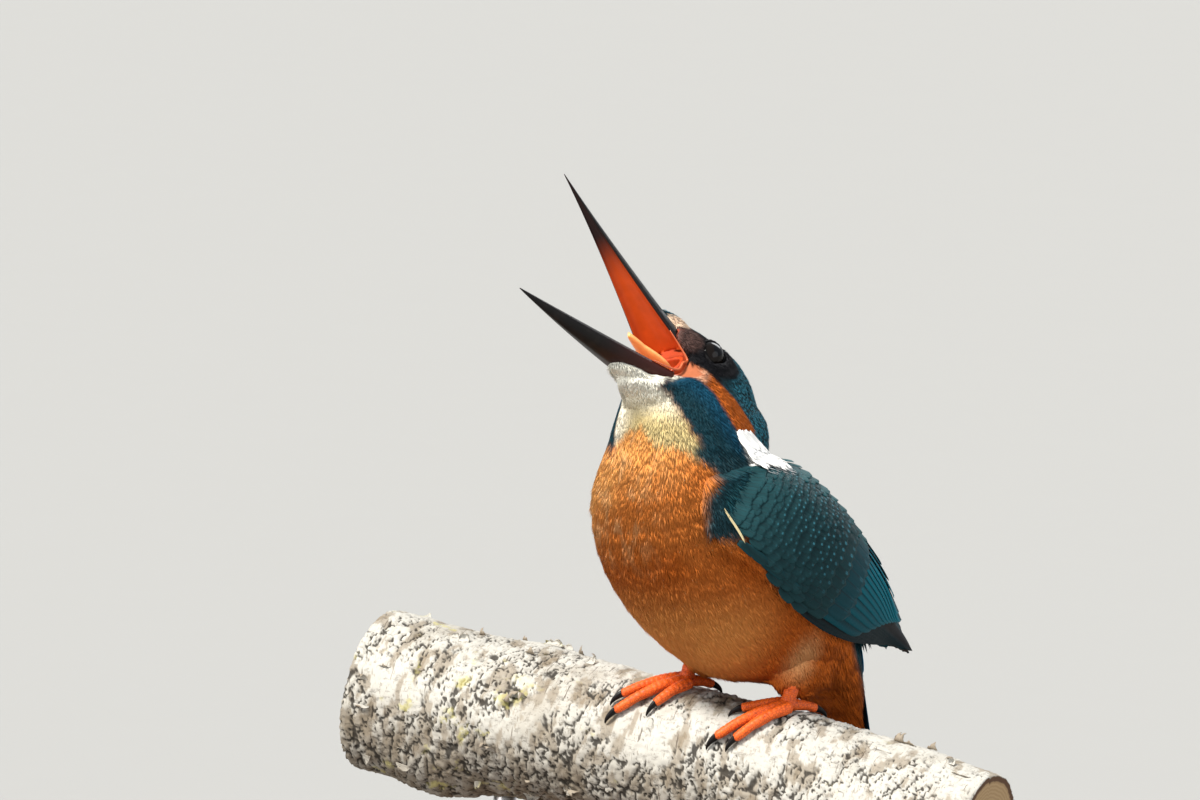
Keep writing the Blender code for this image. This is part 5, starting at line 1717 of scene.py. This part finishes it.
def bark_finish():
    f = Finish("birch_bark", specular_ior_level=0.25)
    place = f.place()
    under, radial = f.attribute("under"), f.attribute("radial")
    broad, grain = f.noise(place, 55.0, 5.0), f.noise(place, 420.0, 5.0)
    fine = f.noise(f.scaled(place, (3.0, 1.0, 1.0)), 700.0, 4.0)
    patchy = f.noise(f.scaled(place, (1.0, 2.0, 2.0)), 520.0, 6.0, 0.7)
    dashes = f.noise(f.scaled(place, (1500.0, 160.0, 160.0)), 1.0, 2.0)
    from_middle, _, _ = f.parts(place)
    lichen = (f.noise(place, 130.0, 4.0) + 0.1 * from_middle.over(0.02, -0.06)).over(0.66, 0.74)
    wood = f.layered(
        (0.4, 0.27, 0.14),
        (((radial * 120.0 + broad * 14.0).sin() * 0.5 + 0.5) * 0.55, (0.27, 0.16, 0.075)),
        (grain.over(0.62, 0.8) * 0.4, (0.19, 0.11, 0.055)),
        (radial.over(0.9, 0.93), (0.1, 0.05, 0.026)),
    )
    colour = f.layered(
        (0.23, 0.19, 0.14),
        (f.attribute("layer").over(0.1, 0.55), (0.46, 0.445, 0.405)),
        (broad.over(0.5, 0.68) * 0.5, (0.24, 0.21, 0.165)),
        # partly painted shade: the underside is darker, as if shaded from the light above, and it also
        # carries the rougher bark's darker patches
        (under * 0.6, (0.15, 0.125, 0.095)),
        (patchy.over(0.52, 0.62) * (0.35 + 0.4 * under), (0.06, 0.05, 0.04)),
        (fine.over(0.56, 0.7) * 0.5, (0.13, 0.105, 0.075)),
        (dashes.over(0.66, 0.72) * 0.75, (0.07, 0.05, 0.035)),
        (f.attribute("crack").over(0.2, 0.8) * 0.92, (0.022, 0.018, 0.014)),
        (lichen * grain.over(0.42, 0.56) * 0.6, (0.42, 0.38, 0.13)),
        (f.attribute("curl").over(1.4, 1.6), f.mix(grain, (0.19, 0.145, 0.105), (0.33, 0.29, 0.23))),
        (f.attribute("cut"), wood),
    )
    f.bump(grain * 0.6 + fine * 0.5, 0.55, 0.3)
    return f.done(colour, 0.72 + 0.2 * grain)


def base_finish():
    f = Finish("stained_wood", specular_ior_level=0.2)
    place = f.place()
    bend = f.noise(f.scaled(place, (6.0, 22.0, 22.0)), 1.0)
    lines = f.noise(f.scaled(place, (14.0, 420.0, 420.0)), 1.0, 4.0, 0.6, 0.4)
    pores = f.noise(f.scaled(place, (160.0, 2600.0, 2600.0)), 1.0, 2.0)
    colour = f.layered(
        (0.05, 0.022, 0.01),
        ((lines * 0.6 + bend * 0.5).over(0.35, 0.75), (0.2, 0.1, 0.045)),
        (pores.over(0.6, 0.72) * 0.6, (0.02, 0.01, 0.006)),
    )
    f.bump(pores * 0.5 + lines * 0.3, 0.25, 0.08)
    return f.done(colour, 0.45 + 0.2 * lines)


def steel_finish():
    f = Finish("brushed_steel", metallic=1.0)
    brush = f.noise(f.scaled(f.place(), (300.0, 300.0, 6000.0)), 1.0)
    f.bump(brush, 0.15, 0.03)
    return f.done(f.mix(brush, (0.5, 0.5, 0.5), (0.68, 0.67, 0.66)), 0.22 + 0.22 * brush)


def floor_finish():
    f = Finish("pale_floor", 0.9, specular_ior_level=0.1)
    grain = f.noise(f.place(), 40.0)
    return f.done(f.mix(grain * 0.2, (0.31, 0.31, 0.305), (0.295, 0.295, 0.29)))


# ---------------------------------------------------------------- stage


def make_stage():
    """The camera where the bird shows its left side and open bill, with soft light over a pale floor."""
    azimuth, elevation, distance, view_width = math.radians(28), math.radians(8), 2.5, 0.25696
    right = Vector((math.cos(azimuth), math.sin(azimuth), 0))
    back = Vector((right.y, -right.x, 0)) * math.cos(elevation) + Vector((0, 0, math.sin(elevation)))
    up = back.cross(right)
    perched, aside, higher = BIRD.translation * MM, 0.03105, 0.06424
    target = perched - right * aside + up * higher
    camera = bpy.data.cameras.new("camera")
    camera.sensor_width = 36.0
    camera.lens = 36.0 * distance / view_width
    camera.clip_end = 60.0
    eye = linked("camera", camera)
    eye.location = target + back * distance
    eye.rotation_euler = back.to_track_quat("Z", "Y").to_euler()
    bpy.context.scene.camera = eye

    for name, way, width, power, tint in (
        ("key", (-0.62, 1.0, 0.75), 14, 6.0, (1.0, 0.96, 0.89)),
        ("fill", (0.9, 0.25, 0.8), 45, 0.9, (0.93, 0.96, 1.0)),
        ("front", (-1.05, -0.05, 0.75), 40, 2.1, (1.0, 0.97, 0.93)),
        ("rim", (0.5, 0.8, -0.9), 30, 1.3, (1.0, 1.0, 1.0)),
    ):
        light = bpy.data.lights.new(name, "SUN")
        light.angle, light.energy, light.color = math.radians(width), power, tint
        lamp = linked(name, light)
        aim = (right * way[0] + up * way[1] + back * way[2]).normalized()
        lamp.location = perched + aim * 1.5
        lamp.rotation_euler = aim.to_track_quat("Z", "Y").to_euler()

    world = bpy.data.worlds.new("studio")
    world.use_nodes = True
    sky = world.node_tree.nodes["Background"].inputs
    sky["Color"].default_value, sky["Strength"].default_value = (0.8, 0.85, 0.9, 1.0), 0.62
    bpy.context.scene.world = world
    bpy.context.scene.view_settings.view_transform = "Standard"

    floor = bpy.data.meshes.new("floor")
    edge = [(20 * math.cos(turn), 20 * math.sin(turn), 0.0) for turn in round_turn(64)]
    floor.from_pydata(edge, [], [tuple(range(64))])
    floor.materials.append(floor_finish())
    linked("floor", floor)


TUFTS = (((0.75, 1.0), 0.08, 0.0), ((0.7, 1.0), 0.12, 0.3), ((0.8, 0.95), 0.06, -0.3))  # widths, bend, twist
COATS = (  # name, tract, millions of tufts a square metre, least distance between them, how unevenly they lie
    ("face", 1, 34.0, 0.1, 0.1), ("neck", 2, 28.0, 0.12, 0.12), ("mantle", 3, 16.0, 0.15, 0.1),
    ("breast_left", 4, 52.0, 0.09, 0.12), ("breast_right", 7, 52.0, 0.09, 0.12),
    ("flank_left", 5, 40.0, 0.1, 0.14), ("flank_right", 8, 40.0, 0.1, 0.14),
    ("vent_left", 6, 30.0, 0.11, 0.14), ("vent_right", 9, 30.0, 0.11, 0.14),
)


def main():
    make_stage()
    plumage, vanes, horn, mouth = plumage_finish(), vane_finish(), horn_finish(), mouth_finish()
    skin = make_skin(skin_finish())
    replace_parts(skin, *FLESH)
    tufts = [tuft_shape(f"tuft_{k}", plumage, *sizes) for k, sizes in enumerate(TUFTS)]
    tree = coat_tree(tufts)
    for name, *numbers in COATS:
        make_coat(skin, tree, f"plumage_{name}", plumage, *numbers)
    for side, word in SIDES:
        make_wing(side, word, vanes)
        make_patch(side, word, plumage)
    make_tail(vanes)
    make_bill(horn)
    make_mouth(mouth)
    make_tongue(mouth)
    make_eyes(eye_finish(), lid_finish())
    make_feet(leg_finish(), horn)
    bark = bark_finish()
    make_perch(bark)
    make_curls(bark)
    make_base(base_finish())
    make_rods(steel_finish())
    for tuft in tufts:
        discard(tuft)
    bpy.data.node_groups.remove(tree.tree)


main()
